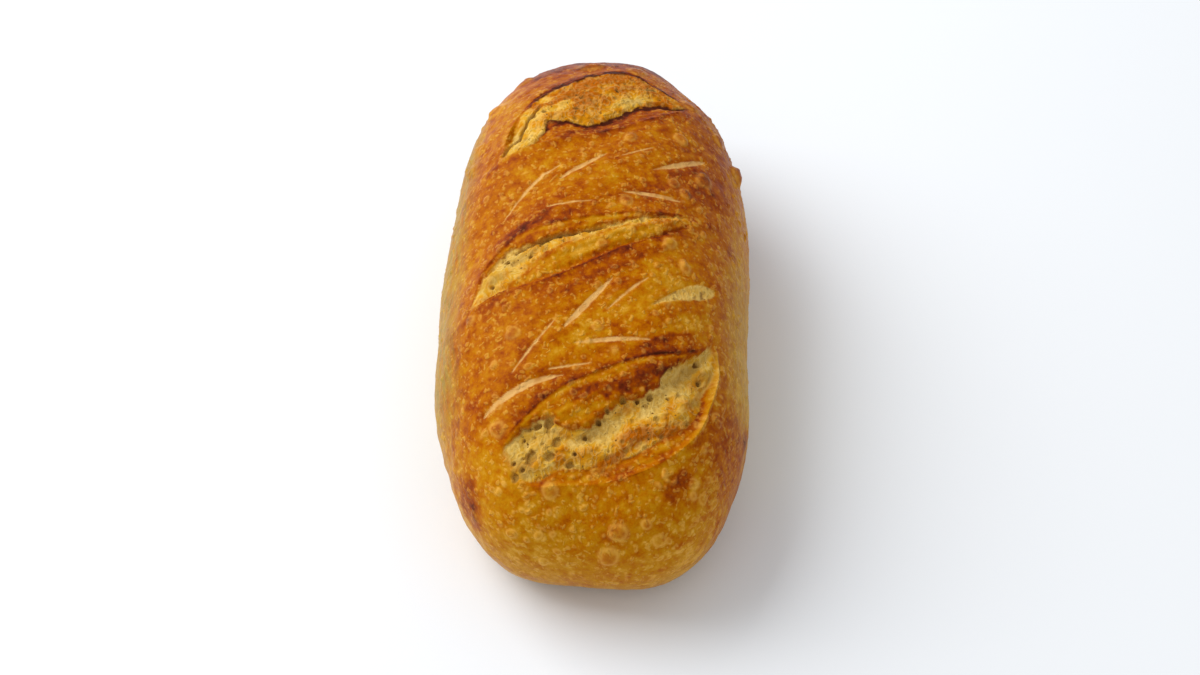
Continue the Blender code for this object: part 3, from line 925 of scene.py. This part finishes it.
def lean_ear(fields, opening, at):
    """Leans the far lip over the opening, without folding the surface."""
    outer = np.exp(-at.past_far / EAR_LEAN_WIDTH)
    inner = np.maximum(1 + at.past_far / EAR_THICKNESS, 0)
    lean = EAR_LEAN * np.where(at.past_far > 0, outer, inner) * at.fade * at.beside
    lean *= at.past_near < 0
    toward_near = -axis_across(*opening["tips"])
    fields["lean_x"] += lean * toward_near[0]
    fields["lean_y"] += lean * toward_near[1]


def colour_crumb(fields, opening, at, relief, grain):
    """Where the crumb shows, how much painted shade its hollows and deep places get, and how
    toasted.
    """
    raise_to(fields, "crumb", at.crumb * eased(at.fade * CRUMB_FADE))
    deep = eased((-relief - DEEP_FROM) / DEEP_REACH) * at.crumb
    raise_to(fields, "hollow_shade", np.maximum(DEEP_SHADE * deep, grain.pores * at.crumb))
    toast = along_opening(opening["toast"], at.along)
    toast += opening["toast_slope"] * (at.across - 0.5)
    toast += TOAST_BY_HEIGHT * (relief - TOAST_LEVEL) + grain.toast + DEEP_TOAST * deep
    fields["toast"] = np.where(at.inside, np.clip(toast, 0, 1), fields["toast"])


def bake_lips(fields, opening, at, grain):
    """Browning along the ear, the near lip and the skin's edges, painted light in a paler band under
    the ear, and the near lip's pale rim, partly a painted highlight.
    """
    ear_out, lip_out, lip_in, edge_width = opening["burn_widths"]
    ear = burnt_band(at.past_far, ear_out, EAR_THICKNESS)
    lip = burnt_band(at.past_near, lip_out, lip_in)
    lips = ear * along_opening(opening["ear_burn"], at.along)
    lips += lip * along_opening(opening["lip_burn"], at.along)
    edges = along_opening(opening["edge_burn"], at.along) * bell(at.past_skin, edge_width)
    # a paler band under the ear: painted light on the wall in the ear's shade
    edges += UNDER_EAR_PAINTED_LIGHT * bell(at.past_far + UNDER_EAR, UNDER_EAR_WIDTH)
    burn = lips * at.beside * (1 + BURN_RAGGED * grain.ragged) + edges * at.inside
    # the near lip's pale rim: partly paler crust, partly a painted highlight
    rim = bell(at.past_near, LIP_RIM_WIDTH) * along_opening(opening["rim"], at.along) * at.beside
    fields["bake"] += burn * eased(at.fade * BURN_FADE) + LIP_RIM_HIGHLIGHT_BAKE * rim
    fields["bake"] += grain.streaks * at.inside * (1 - at.crumb)
    fields["height"] += LIP_RIM_HEIGHT * rim


def along_opening(places, along):
    """A value that changes along an opening, given at some shares of its length."""
    return np.interp(along, *np.array(places).T)


def burnt_band(past, outer_width, inner_width):
    """1 on a lip, dying away outside the opening and inside it."""
    return np.exp(-np.maximum(past, 0) / outer_width) * np.exp(np.minimum(past, 0) / inner_width)


def add_holes(fields, points):
    x, y = points[..., 0], points[..., 1]
    for (middle_x, middle_y), radius, depth in HOLES:
        away = np.hypot(x - middle_x, y - middle_y)
        near = away < 2 * radius
        edge = radius * (1 + noise_sum(points[near], HOLE_NOISE))
        place = away[near] / np.maximum(edge, HOLE_LEAST * radius)
        painted_shade = hole_shade(points[near], place) if radius > BIG_HOLE else SMALL_HOLE_SHADE
        dig(fields, near, eased((HOLE_RIM - place) / HOLE_SLOPE), depth, painted_shade)
    for path, half_width, depth in CREVICES:
        away = away_from_path(path, x, y)
        near = away < 3 * half_width
        edge = half_width * (1 + noise_sum(points[near], CREVICE_NOISE))
        share = eased(CREVICE_RIM - away[near] / np.maximum(edge, CREVICE_LEAST))
        dig(fields, near, share, depth, CREVICE_SHADE)


def hole_shade(points, place):
    """A large hole's wall gets more painted shade than its bottom, here more and there less."""
    wall = bell(place - WALL_PLACE, WALL_WIDTH) * (WALL_LEAST + noise(points, *WALL_NOISE))
    return HOLE_BOTTOM_SHADE + HOLE_WALL_SHADE * wall


def dig(fields, where, share, depth, painted_shade):
    """Lowers the crumb and paints shade into it, by a share from 0 to 1."""
    fields["height"][where] -= depth * share
    fields["hollow_shade"][where] = np.maximum(fields["hollow_shade"][where], painted_shade * share)
    fields["crumb"][where] = np.maximum(fields["crumb"][where], share)


def away_from_path(path, x, y):
    """Distance in plan from a path of straight stretches."""
    nearest = np.full(x.shape, np.inf)
    for start, end in itertools.pairwise(path):
        share, beyond = line_frame(start, end, x, y)
        past = np.maximum(np.abs(share - 0.5) - 0.5, 0) * math.dist(start, end)
        nearest = np.minimum(nearest, np.hypot(past, beyond))
    return nearest


def nick_half_width(nick, share, wander):
    """Half the width of a nick's pale bottom along it, next to nothing past its ends."""
    *_, half_width, _, widest = nick
    bent = np.clip(share, TINY, 1) ** (math.log(0.5) / math.log(widest))
    full = np.where((share > 0) & (share < 1), 4 * bent * (1 - bent), 0) ** NICK_BLUNTNESS
    half = NICK_GAIN * half_width * full * (1 + NICK_RAGGED * wander)
    return np.maximum(half, LEAST_HALF_WIDTH)


def add_nicks(fields, points):
    """Shallow grooves with pale bottoms."""
    least, wanders = NICK_DEPTH
    pale_least, pale_wanders = NICK_PALENESS
    wander = noise_sum(points, NICK_NOISE)
    for nick in NICKS:
        *_, half_width, depth, _ = nick
        share, beyond = nick_place(nick, points[..., 0], points[..., 1])
        inside = (share > 0) & (share < 1)
        half = nick_half_width(nick, share, wander)
        pale = eased((half + NICK_PAST - np.abs(beyond)) / NICK_SOFT)
        pale *= inside * eased(half / NICK_FULL)
        groove = bell(beyond, half + NICK_WALL) * inside * eased(half / GROOVE_FULL)
        fields["height"] -= depth * groove * (least + wanders * wander)
        raise_to(fields, "cut", pale * (pale_least + pale_wanders * wander))
        if half_width > POROUS_NICK:
            open_crumb(fields, points, pale)


def open_crumb(fields, points, share):
    """Shows crumb with its pores in a nick that opened wide."""
    raise_to(fields, "crumb", share)
    fields["cut"] *= 1 - (1 - POROUS_CUT) * share
    fields["toast"] += POROUS_TOAST * share
    pores = share * eased(2 * noise(points, *NICK_PORES) + NICK_PORE_SHARE)
    raise_to(fields, "hollow_shade", NICK_PORE_SHADE * pores)


def add_blisters(fields, points, toward):
    """Bubbles of the crust's skin, each with a pale rim."""
    crust = 1 - fields["crumb"]
    bend = [noise(points, BEND_SIZE, shift) for shift in BEND_SHIFTS]
    bent = points + BLISTER_BEND * np.stack(bend, axis=-1)
    for place, radius, height, browner in BLISTERS:
        away = np.linalg.norm(bent - np.array(place), axis=-1) / radius
        foot = eased(BLISTER_FOOT - away)
        fields["height"] += height * foot
        fields["bake"] += browner * foot * crust
        raise_to(fields, "blister", blister_rim(away) * crust)
    add_small_blisters(fields, points, bent, toward, crust)
    wart = np.linalg.norm(points - np.array(WART_EDGE), axis=-1) / WART_SIZE
    knobs = eased(WART_REACH - wart) * np.clip(noise_sum(points, (WART_KNOBS,)), 0, 1)
    fields["height"] += WART_HEIGHT * knobs
    raise_to(fields, "blister", WART_PALENESS * knobs)


def add_small_blisters(fields, points, bent, toward, crust):
    """Bubbles all over the crust, more of them towards the near end and on the right."""
    lively = BLISTER_SHARE + noise_sum(points, (BLISTER_VARIES,))
    lively = np.clip(lively + regional(toward, BLISTER_REGIONS), *BLISTER_LIMITS)
    upright = UPRIGHT_LEAST + regional(toward, UPRIGHT_REGIONS)
    upright *= 1 + UPRIGHT_FAR * region(toward, FAR_END)
    for spacing, smallest, largest, height, share in SMALL_BLISTERS:
        away, number = scattered(bent, spacing, spacing)
        number = number / (share * lively)
        away = away / (smallest + (largest - smallest) * number**2)
        there = (number < 1) * crust
        high = BLISTER_LEAST_HEIGHT + (1 - BLISTER_LEAST_HEIGHT) * number
        fields["height"] += height * eased(BLISTER_FOOT - away) * high * there * upright
        raise_to(fields, "blister", blister_rim(away) * there)


def blister_rim(away):
    """How pale a blister is: most on its rim, and less inside it."""
    rim = bell(away - BLISTER_RIM, BLISTER_RIM_WIDTH)
    return BLISTER_PALENESS * rim + (1 - BLISTER_PALENESS) * eased(BLISTER_MIDDLE - away)


def add_crust(fields, points, toward):
    """The crust's own relief, browning and floury tint, away from the openings; the tint is partly
    painted sheen, and the browning is paler on the right side as painted light.
    """
    x, y = points[..., 0], points[..., 1]
    for height, length_x, length_y, shift in WAVES:
        fields["height"] += height * np.sin(2 * math.pi * (x / length_x + y / length_y + shift))
    ridges = drawn_out(points, *CRUST_RIDGES)
    relief = RIDGE_HEIGHT * ridges + noise_sum(points, CRUST_NOISE)
    fields["height"] += (1 - fields["crumb"]) * relief

    streaks = noise(points / UPRIGHT_STREAK, 1.0, UPRIGHT_SHIFT)
    bake = PLAIN_BAKE + noise_sum(points, CLOUD_NOISE + MOTTLE_NOISE) + RIDGE_BAKE * ridges
    bake += drawn_out(points, *CRUST_STREAKS)
    bake += regional(toward, BAKE_REGIONS) + SIDE_STREAK_BAKE * region(toward, (SIDE,)) * streaks
    for place, radius, strength in SPOTS:
        away = np.linalg.norm(points - np.array(place), axis=-1) / radius
        bake += strength * eased(SOFT_EDGE - away)
    fields["bake"] += bake
    # floury tint, partly painted sheen, heavier on the left side
    floury_sheen = np.where(x < 0, regional(toward, FLOUR_AND_SHEEN_LEFT), regional(toward, FLOUR_AND_SHEEN_RIGHT))
    fields["flour_and_sheen"] += floury_sheen * np.clip(FLOUR_AND_SHEEN_SHARE + FLOUR_AND_SHEEN_STREAKS * streaks, 0, 1)


def add_patches(fields, points):
    """Patches with ragged edges, drawn out along the slashes."""
    ragged = noise_sum(points, PATCH_NOISE)
    for field, patches in PATCHES.items():
        for (middle_x, middle_y), half_length, half_width, amount in patches:
            from_middle = points - np.array([middle_x, middle_y, 0])
            flat = along_slashes(from_middle, half_length, half_width)
            share = eased(SOFT_EDGE - np.hypot(flat[..., 0], flat[..., 1]) - ragged)
            if field == "hollow_shade":
                raise_to(fields, field, amount * share * fields["crumb"])
            else:
                fields[field] += amount * share


def surface_fields(points, normal):
    fields = new_fields(points.shape[:-1])
    toward = directions(points, normal)
    grain = crumb_grain(points)
    for opening in OPENINGS.values():
        add_opening(fields, opening, points, grain)
    add_holes(fields, points)
    add_nicks(fields, points)
    add_blisters(fields, points, toward)
    add_crust(fields, points, toward)
    add_patches(fields, points)
    return fields


def grid_lines(count, direction):
    """Flat coordinates of the grid's lines: even over the dome, and even over the skirt."""
    flat = np.linspace(-WAIST_SHARE, WAIST_SHARE, LINE_SAMPLES)
    dome = plain_loaf(*disc_places(flat * direction[0], flat * direction[1]))
    steps = np.linalg.norm(np.diff(dome, axis=0), axis=-1)
    travelled = np.concatenate([[0], np.cumsum(steps)])
    lines = np.interp(np.linspace(0, travelled[-1], count), travelled, flat)
    skirt = np.linspace(WAIST_SHARE, 1, SKIRT_LINES + 1)[1:]
    return np.concatenate([-skirt[::-1], lines, skirt])


def make_surface():
    """The grid's points on the plain loaf, its finished points in metres, and their fields."""
    flat = np.meshgrid(grid_lines(LINES_ACROSS, (1, 0)), grid_lines(LINES_ALONG, (0, 1)))
    across, along = disc_places(*flat)
    normal = outward(across, along)
    plain = onto_lines(plain_loaf(across, along), normal)
    fields = surface_fields(plain, normal)
    radius = np.hypot(across, along)
    fade = eased((RELIEF_FADE[1] - radius) / (RELIEF_FADE[1] - RELIEF_FADE[0]))
    points = plain + normal * (fields["height"] * fade)[..., None]
    points[..., 0] += fields["lean_x"] - BOX_MIDDLE[0]
    points[..., 1] += fields["lean_y"] - BOX_MIDDLE[1]
    fields["low"] = eased((radius - 1) / (RIM - 1))
    return plain, points * MM, fields


def corner_indices(rows, columns):
    index = np.arange(rows * columns).reshape(rows, columns)
    return index[:-1, :-1], index[:-1, 1:], index[1:, 1:], index[1:, :-1]


def grid_triangles(points):
    """Two triangles for each cell, split along the diagonal that changes level less."""
    a, b, c, d = (corner.ravel() for corner in corner_indices(*points.shape[:2]))
    flat = points.reshape(-1, 3)
    other = np.abs(flat[a, 2] - flat[c, 2]) > np.abs(flat[b, 2] - flat[d, 2])
    first = np.where(other[:, None], np.stack([a, b, d], 1), np.stack([a, b, c], 1))
    second = np.where(other[:, None], np.stack([b, c, d], 1), np.stack([a, c, d], 1))
    return np.concatenate([first, second])


def rim_loop(rows, columns):
    """The grid's border, in order, counter-clockwise from above."""
    index = np.arange(rows * columns).reshape(rows, columns)
    return np.concatenate([index[0, :-1], index[:-1, -1], index[-1, :0:-1], index[:0:-1, 0]])


def add_base(points, fields, triangles, rim):
    """Closes the underside with rings that shrink to the middle."""
    edge = points[rim]
    middle = edge.mean(axis=0)
    rings = [middle + (edge - middle) * size for size in BASE_RINGS]
    first = len(points)
    loops = [rim] + [first + k * len(rim) + np.arange(len(rim)) for k in range(len(rings))]
    centre = first + len(rings) * len(rim)
    made = []
    for outer, inner in itertools.pairwise(loops):
        made.append(np.stack([outer, inner, np.roll(outer, -1)], 1))
        made.append(np.stack([np.roll(outer, -1), inner, np.roll(inner, -1)], 1))
    made.append(np.stack([loops[-1], np.full(len(rim), centre), np.roll(loops[-1], -1)], 1))
    points = np.concatenate([points, *rings, middle[None]])
    points[first:, 2] = 0
    extra = len(points) - first
    fields = {name: np.concatenate([values, np.zeros(extra)]) for name, values in fields.items()}
    fields["low"][first:] = 1
    fields["bake"][first:] = BASE_BAKE
    return points, fields, np.concatenate([triangles, *made])


def point_normals(points, triangles):
    """Normals of the whole surface, so that no seam shows between its pieces."""
    a, b, c = (points[triangles[:, k]] for k in range(3))
    face = np.cross(b - a, c - a)
    normal = np.zeros_like(points)
    for corner in range(3):
        for axis in range(3):
            normal[:, axis] += np.bincount(triangles[:, corner], face[:, axis], len(points))
    return normal / np.maximum(np.linalg.norm(normal, axis=1, keepdims=True), TINY)


def piece_of_points(plain):
    """Which opening each point lies in: 0 for none."""
    x, y = plain[..., 0], plain[..., 1]
    found = np.zeros(x.shape, int)
    for number, opening in enumerate(OPENINGS.values(), start=1):
        share, past_far, past_near = opening_place(opening, x, y)
        beside = (share > AT_TIP) & (share < 1 - AT_TIP)
        inside = beside & (np.maximum(past_far, past_near) < ON_LIP)
        found[inside & (plain[..., 2] > WAIST_HEIGHT)] = number
    return found


def make_piece(name, points, normals, fields, triangles, material):
    used, corners = np.unique(triangles, return_inverse=True)
    mesh = bpy.data.meshes.new(name)
    mesh.vertices.add(len(used))
    mesh.vertices.foreach_set("co", points[used].ravel())
    mesh.loops.add(corners.size)
    mesh.loops.foreach_set("vertex_index", corners.ravel().astype(np.int32))
    mesh.polygons.add(len(triangles))
    mesh.polygons.foreach_set("loop_start", np.arange(0, corners.size, 3, dtype=np.int32))
    mesh.update(calc_edges=True)
    mesh.shade_smooth()
    for field in COLOUR_FIELDS:
        layer = mesh.attributes.new(field, "FLOAT", "POINT")
        layer.data.foreach_set("value", fields[field][used].astype(np.float32))
    mesh.normals_split_custom_set_from_vertices(normals[used])
    mesh.materials.append(material)
    piece = bpy.data.objects.new(name, mesh)
    bpy.context.scene.collection.objects.link(piece)
    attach(piece, "root")
    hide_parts("loaf")
    return piece


def make_loaf(material):
    plain, points, fields = make_surface()
    rows, columns = points.shape[:2]
    triangles = grid_triangles(points)
    opening = piece_of_points(plain).ravel()
    points = points.reshape(-1, 3)
    points[rim_loop(rows, columns), 2] = 0
    fields = {name: values.ravel() for name, values in fields.items()}
    points, fields, triangles = add_base(points, fields, triangles, rim_loop(rows, columns))
    normals = point_normals(points, triangles)

    opening = np.concatenate([opening, np.zeros(len(points) - len(opening), int)])
    in_opening = opening[triangles].min(axis=1)
    middle = points[triangles].mean(axis=1) / MM
    below = fields["low"][triangles].max(axis=1) > 0
    third = np.digitize(middle[:, 1], CRUST_BORDERS)
    groups = {f"crumb_{name}": in_opening == k for k, name in enumerate(OPENINGS, start=1)}
    for k, name in enumerate(OPENINGS):
        groups[f"crust_{name}"] = (in_opening == 0) & ~below & (third == k)
    groups["underside"] = (in_opening == 0) & below
    for name, chosen in groups.items():
        make_piece(name, points, normals, fields, triangles[chosen], material)


def linear(colour):
    """A colour of the shown picture, 0 to 255, as the shader's light values."""
    shown = np.array(colour) / 255
    light = np.where(shown <= 0.04045, shown / 12.92, ((shown + 0.055) / 1.055) ** 2.4)
    return (*light.tolist(), 1.0)


def node(tree, kind, inputs=None, **settings):
    """A shader node with its settings made and its sockets linked or set."""
    made = tree.nodes.new(kind)
    for name, value in settings.items():
        setattr(made, name, value)
    for socket, value in (inputs or {}).items():
        if isinstance(value, bpy.types.NodeSocket):
            tree.links.new(value, made.inputs[socket])
        else:
            made.inputs[socket].default_value = value
    return made


def carried(tree, field):
    """A field that the mesh carries."""
    return node(tree, "ShaderNodeAttribute", attribute_name=field).outputs["Fac"]


def maths(tree, operation, *values, clamp=False):
    made = node(tree, "ShaderNodeMath", dict(enumerate(values)), operation=operation)
    made.use_clamp = clamp
    return made.outputs[0]


def mixed(tree, share, first, second):
    inputs = {0: share, 6: first, 7: second}
    return node(tree, "ShaderNodeMix", inputs, data_type="RGBA").outputs[2]


def ramp(tree, value, stops):
    """Colours along a value, each given with its place and as it shows in full light."""
    made = node(tree, "ShaderNodeValToRGB", {0: value})
    while len(made.color_ramp.elements) < len(stops):
        made.color_ramp.elements.new(0.5)
    for element, (place, colour) in zip(made.color_ramp.elements, stops, strict=True):
        element.position = place
        element.color = linear(colour)
    return made.outputs[0]


def fine_noise(tree, where, scale, detail=3.0, roughness=0.6):
    inputs = {"Vector": where, "Scale": scale, "Detail": detail, "Roughness": roughness}
    return node(tree, "ShaderNodeTexNoise", inputs).outputs[0]


def bread_material():
    """Crust, stretched skin and torn crumb, told apart by what the mesh carries."""
    material = bpy.data.materials.new("baked_bread")
    material.use_nodes = True
    tree = material.node_tree
    shader = tree.nodes["Principled BSDF"]
    patterns = fine_patterns(tree)
    crumb = carried(tree, "crumb")

    colour = mixed(tree, crumb, crust_colour(tree, patterns), crumb_colour(tree, patterns))
    for field, strength, mottled, cover in COVERS:
        share = covered(tree, patterns["mottle"], field, strength, mottled)
        colour = mixed(tree, share, colour, linear(cover))
    tree.links.new(colour, shader.inputs["Base Color"])

    rough = maths(tree, "MULTIPLY_ADD", crumb, CRUMB_ROUGHER, CRUST_ROUGHNESS)
    tree.links.new(rough, shader.inputs["Roughness"])
    shader.inputs["Specular IOR Level"].default_value = GLOSS
    shader.inputs["Specular Tint"].default_value = linear(GLOSS_COLOUR)
    shader.inputs["Metallic"].default_value = 0.0

    whole = added(tree, 0.0, patterns, CRUST_LEVEL)
    torn = added(tree, 0.0, patterns, CRUMB_LEVEL)
    level = node(tree, "ShaderNodeMix", {0: crumb, 2: whole, 3: torn}).outputs[0]
    relief = {"Height": level, "Strength": BUMP_STRENGTH, "Distance": BUMP_DEPTH}
    bump = node(tree, "ShaderNodeBump", relief)
    tree.links.new(bump.outputs[0], shader.inputs["Normal"])
    return material


def fine_patterns(tree):
    """What is finer than the mesh, for the colours and for the bump."""
    where = node(tree, "ShaderNodeTexCoord").outputs["Object"]
    pores = round_spots(tree, where, *PORE_SPOTS)
    return {
        "speckle": around_zero(tree, fine_noise(tree, where, SPECKLE_SCALE)),
        "mottle": around_zero(tree, fine_noise(tree, where, MOTTLE_SCALE)),
        "bubble": round_spots(tree, where, *BUBBLES),
        "fibre": fine_fibres(tree, where),
        "hollow_shade": maths(tree, "MAXIMUM", carried(tree, "hollow_shade"), pores),
    }


def added(tree, value, patterns, amounts):
    """A value with some of the patterns added to it."""
    for name, amount in amounts.items():
        value = maths(tree, "MULTIPLY_ADD", patterns[name], amount, value)
    return value


def crust_colour(tree, patterns):
    """Browned crust, with pale rims round its blisters that are partly painted glints, and a floury
    tint on its sides that is partly painted sheen.
    """
    bubble = patterns["bubble"]
    # the pale edge round each small bubble: partly the skin's paler rim and partly a painted glint
    rim_from, rim_glint = BUBBLE_RIM_GLINT
    edge = maths(tree, "MULTIPLY", bubble, maths(tree, "SUBTRACT", rim_from, bubble))
    edge = maths(tree, "MULTIPLY", edge, rim_glint)
    blister = maths(tree, "MAXIMUM", carried(tree, "blister"), edge)
    bake = added(tree, carried(tree, "bake"), patterns, PATTERN_BAKE)
    fresh = maths(tree, "MULTIPLY_ADD", bake, *BLISTERS_BY_BAKE, clamp=True)
    pale = maths(tree, "MULTIPLY", blister, fresh)
    colour = mixed(tree, pale, ramp(tree, bake, CRUST_STOPS), linear(BLISTER_RIM_AND_GLINT_COLOUR))
    flour_and_sheen = maths(tree, "MULTIPLY", carried(tree, "flour_and_sheen"), FLOUR_AND_SHEEN_COVER)
    return mixed(tree, flour_and_sheen, colour, linear(FLOUR_AND_SHEEN_COLOUR))


def crumb_colour(tree, patterns):
    """Toasted crumb, with pale threads, grey painted shade in its hollows and darker painted shade
    in its pores.
    """
    hollow_shade = patterns["hollow_shade"]
    toast = added(tree, carried(tree, "toast"), patterns, PATTERN_TOAST)
    fresh = maths(tree, "MULTIPLY_ADD", toast, *FIBRES_BY_TOAST, clamp=True)
    thread = maths(tree, "MULTIPLY", patterns["fibre"], fresh)
    colour = mixed(tree, thread, ramp(tree, toast, CRUMB_STOPS), linear(FIBRE_COLOUR))
    grey_shade = maths(tree, "MULTIPLY", hollow_shade, HOLLOW_SHADE_COVER, clamp=True)
    colour = mixed(tree, grey_shade, colour, linear(HOLLOW_SHADE_COLOUR))
    deep_pore_shade = maths(tree, "SUBTRACT", hollow_shade, PORE_SHADE_FROM)
    deep_pore_shade = maths(tree, "MULTIPLY", deep_pore_shade, PORE_SHADE_COVER, clamp=True)
    return mixed(tree, deep_pore_shade, colour, linear(PORE_SHADE_COLOUR))


def covered(tree, mottle, field, strength, mottled):
    """How much a carried field covers, with a mottled edge."""
    value = carried(tree, field)
    edge = maths(tree, "MULTIPLY", mottle, mottled)
    share = maths(tree, "MULTIPLY_ADD", value, strength, edge, clamp=True)
    return maths(tree, "MULTIPLY", share, value, clamp=True)


def around_zero(tree, value):
    return maths(tree, "SUBTRACT", value, 0.5)


def bent_places(tree, where, scale, reach):
    """Places moved about by noise, so that what is drawn at them isn't round."""
    inputs = {"Vector": where, "Scale": scale, "Detail": 1.0}
    wander = node(tree, "ShaderNodeTexNoise", inputs).outputs["Color"]
    shift = node(tree, "ShaderNodeVectorMath", {0: wander, 3: reach}, operation="SCALE")
    moved = node(tree, "ShaderNodeVectorMath", {0: where, 1: shift.outputs[0]}, operation="ADD")
    return moved.outputs[0]


def round_spots(tree, where, bend_scale, bend, scale, spread, smallest, sharpness):
    """Spots of random sizes, one to a cell and a little bent: 1 in the middle of each."""
    bent = bent_places(tree, where, bend_scale, bend)
    cells = node(tree, "ShaderNodeTexVoronoi", {"Vector": bent, "Scale": scale})
    chance = node(tree, "ShaderNodeSeparateColor", {0: cells.outputs["Color"]}).outputs[0]
    size = maths(tree, "MULTIPLY_ADD", chance, spread, smallest)
    inside = maths(tree, "SUBTRACT", size, cells.outputs["Distance"])
    return maths(tree, "MULTIPLY", inside, sharpness, clamp=True)


def fine_fibres(tree, where):
    """Threads of the torn crumb: 1 along the middle of each."""
    stretch = {0: where, 1: FIBRE_STRETCH}
    drawn = node(tree, "ShaderNodeVectorMath", stretch, operation="MULTIPLY").outputs[0]
    inputs = {"Vector": drawn, "Scale": FIBRE_SCALE, "Detail": 1.0, "Distortion": FIBRE_BEND}
    value = around_zero(tree, node(tree, "ShaderNodeTexNoise", inputs).outputs[0])
    away = maths(tree, "ABSOLUTE", value)
    return maths(tree, "MULTIPLY_ADD", away, -FIBRE_THINNESS, 1.0, clamp=True)


def plain_material(name, colour):
    material = bpy.data.materials.new(name)
    material.use_nodes = True
    shader = material.node_tree.nodes["Principled BSDF"]
    shader.inputs["Base Color"].default_value = (*colour, 1.0)
    shader.inputs["Roughness"].default_value = FLOOR_ROUGHNESS
    shader.inputs["Specular IOR Level"].default_value = 0.0
    return material


def make_floor():
    bpy.ops.mesh.primitive_plane_add(size=FLOOR_SIZE, location=(0, 0, 0))
    floor = bpy.context.object
    floor.name = "floor"
    floor.data.materials.append(plain_material("plain_floor", FLOOR_WHITE))


def make_lights():
    world = bpy.data.worlds.new("soft_light")
    world.use_nodes = True
    world.node_tree.nodes["Background"].inputs["Strength"].default_value = WORLD_STRENGTH
    world.node_tree.nodes["Background"].inputs["Color"].default_value = (1, 1, 1, 1)
    bpy.context.scene.world = world
    light = bpy.data.lights.new("key", "AREA")
    light.energy = KEY_POWER
    light.size = KEY_SIZE
    key = bpy.data.objects.new("key", light)
    flat = math.cos(KEY_HEIGHT_ANGLE)
    away = Vector((flat * math.cos(KEY_TURN), flat * math.sin(KEY_TURN), math.sin(KEY_HEIGHT_ANGLE)))
    key.location = away * KEY_AWAY
    key.rotation_euler = away.to_track_quat("Z", "Y").to_euler()
    bpy.context.scene.collection.objects.link(key)


def make_camera():
    camera = bpy.data.objects.new("camera", bpy.data.cameras.new("camera"))
    camera.data.lens = CAMERA_LENS
    camera.data.clip_start = CAMERA_NEAREST
    back = Vector((0, -math.cos(CAMERA_UP), math.sin(CAMERA_UP)))
    up = Vector((0, math.sin(CAMERA_UP), math.cos(CAMERA_UP)))
    target = Vector((TARGET_RIGHT, 0, TARGET_HEIGHT)) + up * TARGET_UP
    target -= Vector((BOX_MIDDLE[0], BOX_MIDDLE[1], 0)) * MM
    camera.location = target + back * CAMERA_AWAY
    camera.rotation_euler = back.to_track_quat("Z", "Y").to_euler()
    bpy.context.scene.collection.objects.link(camera)
    bpy.context.scene.camera = camera


make_loaf(bread_material())
make_floor()
make_lights()
make_camera()
bpy.context.scene.view_settings.view_transform = "Standard"
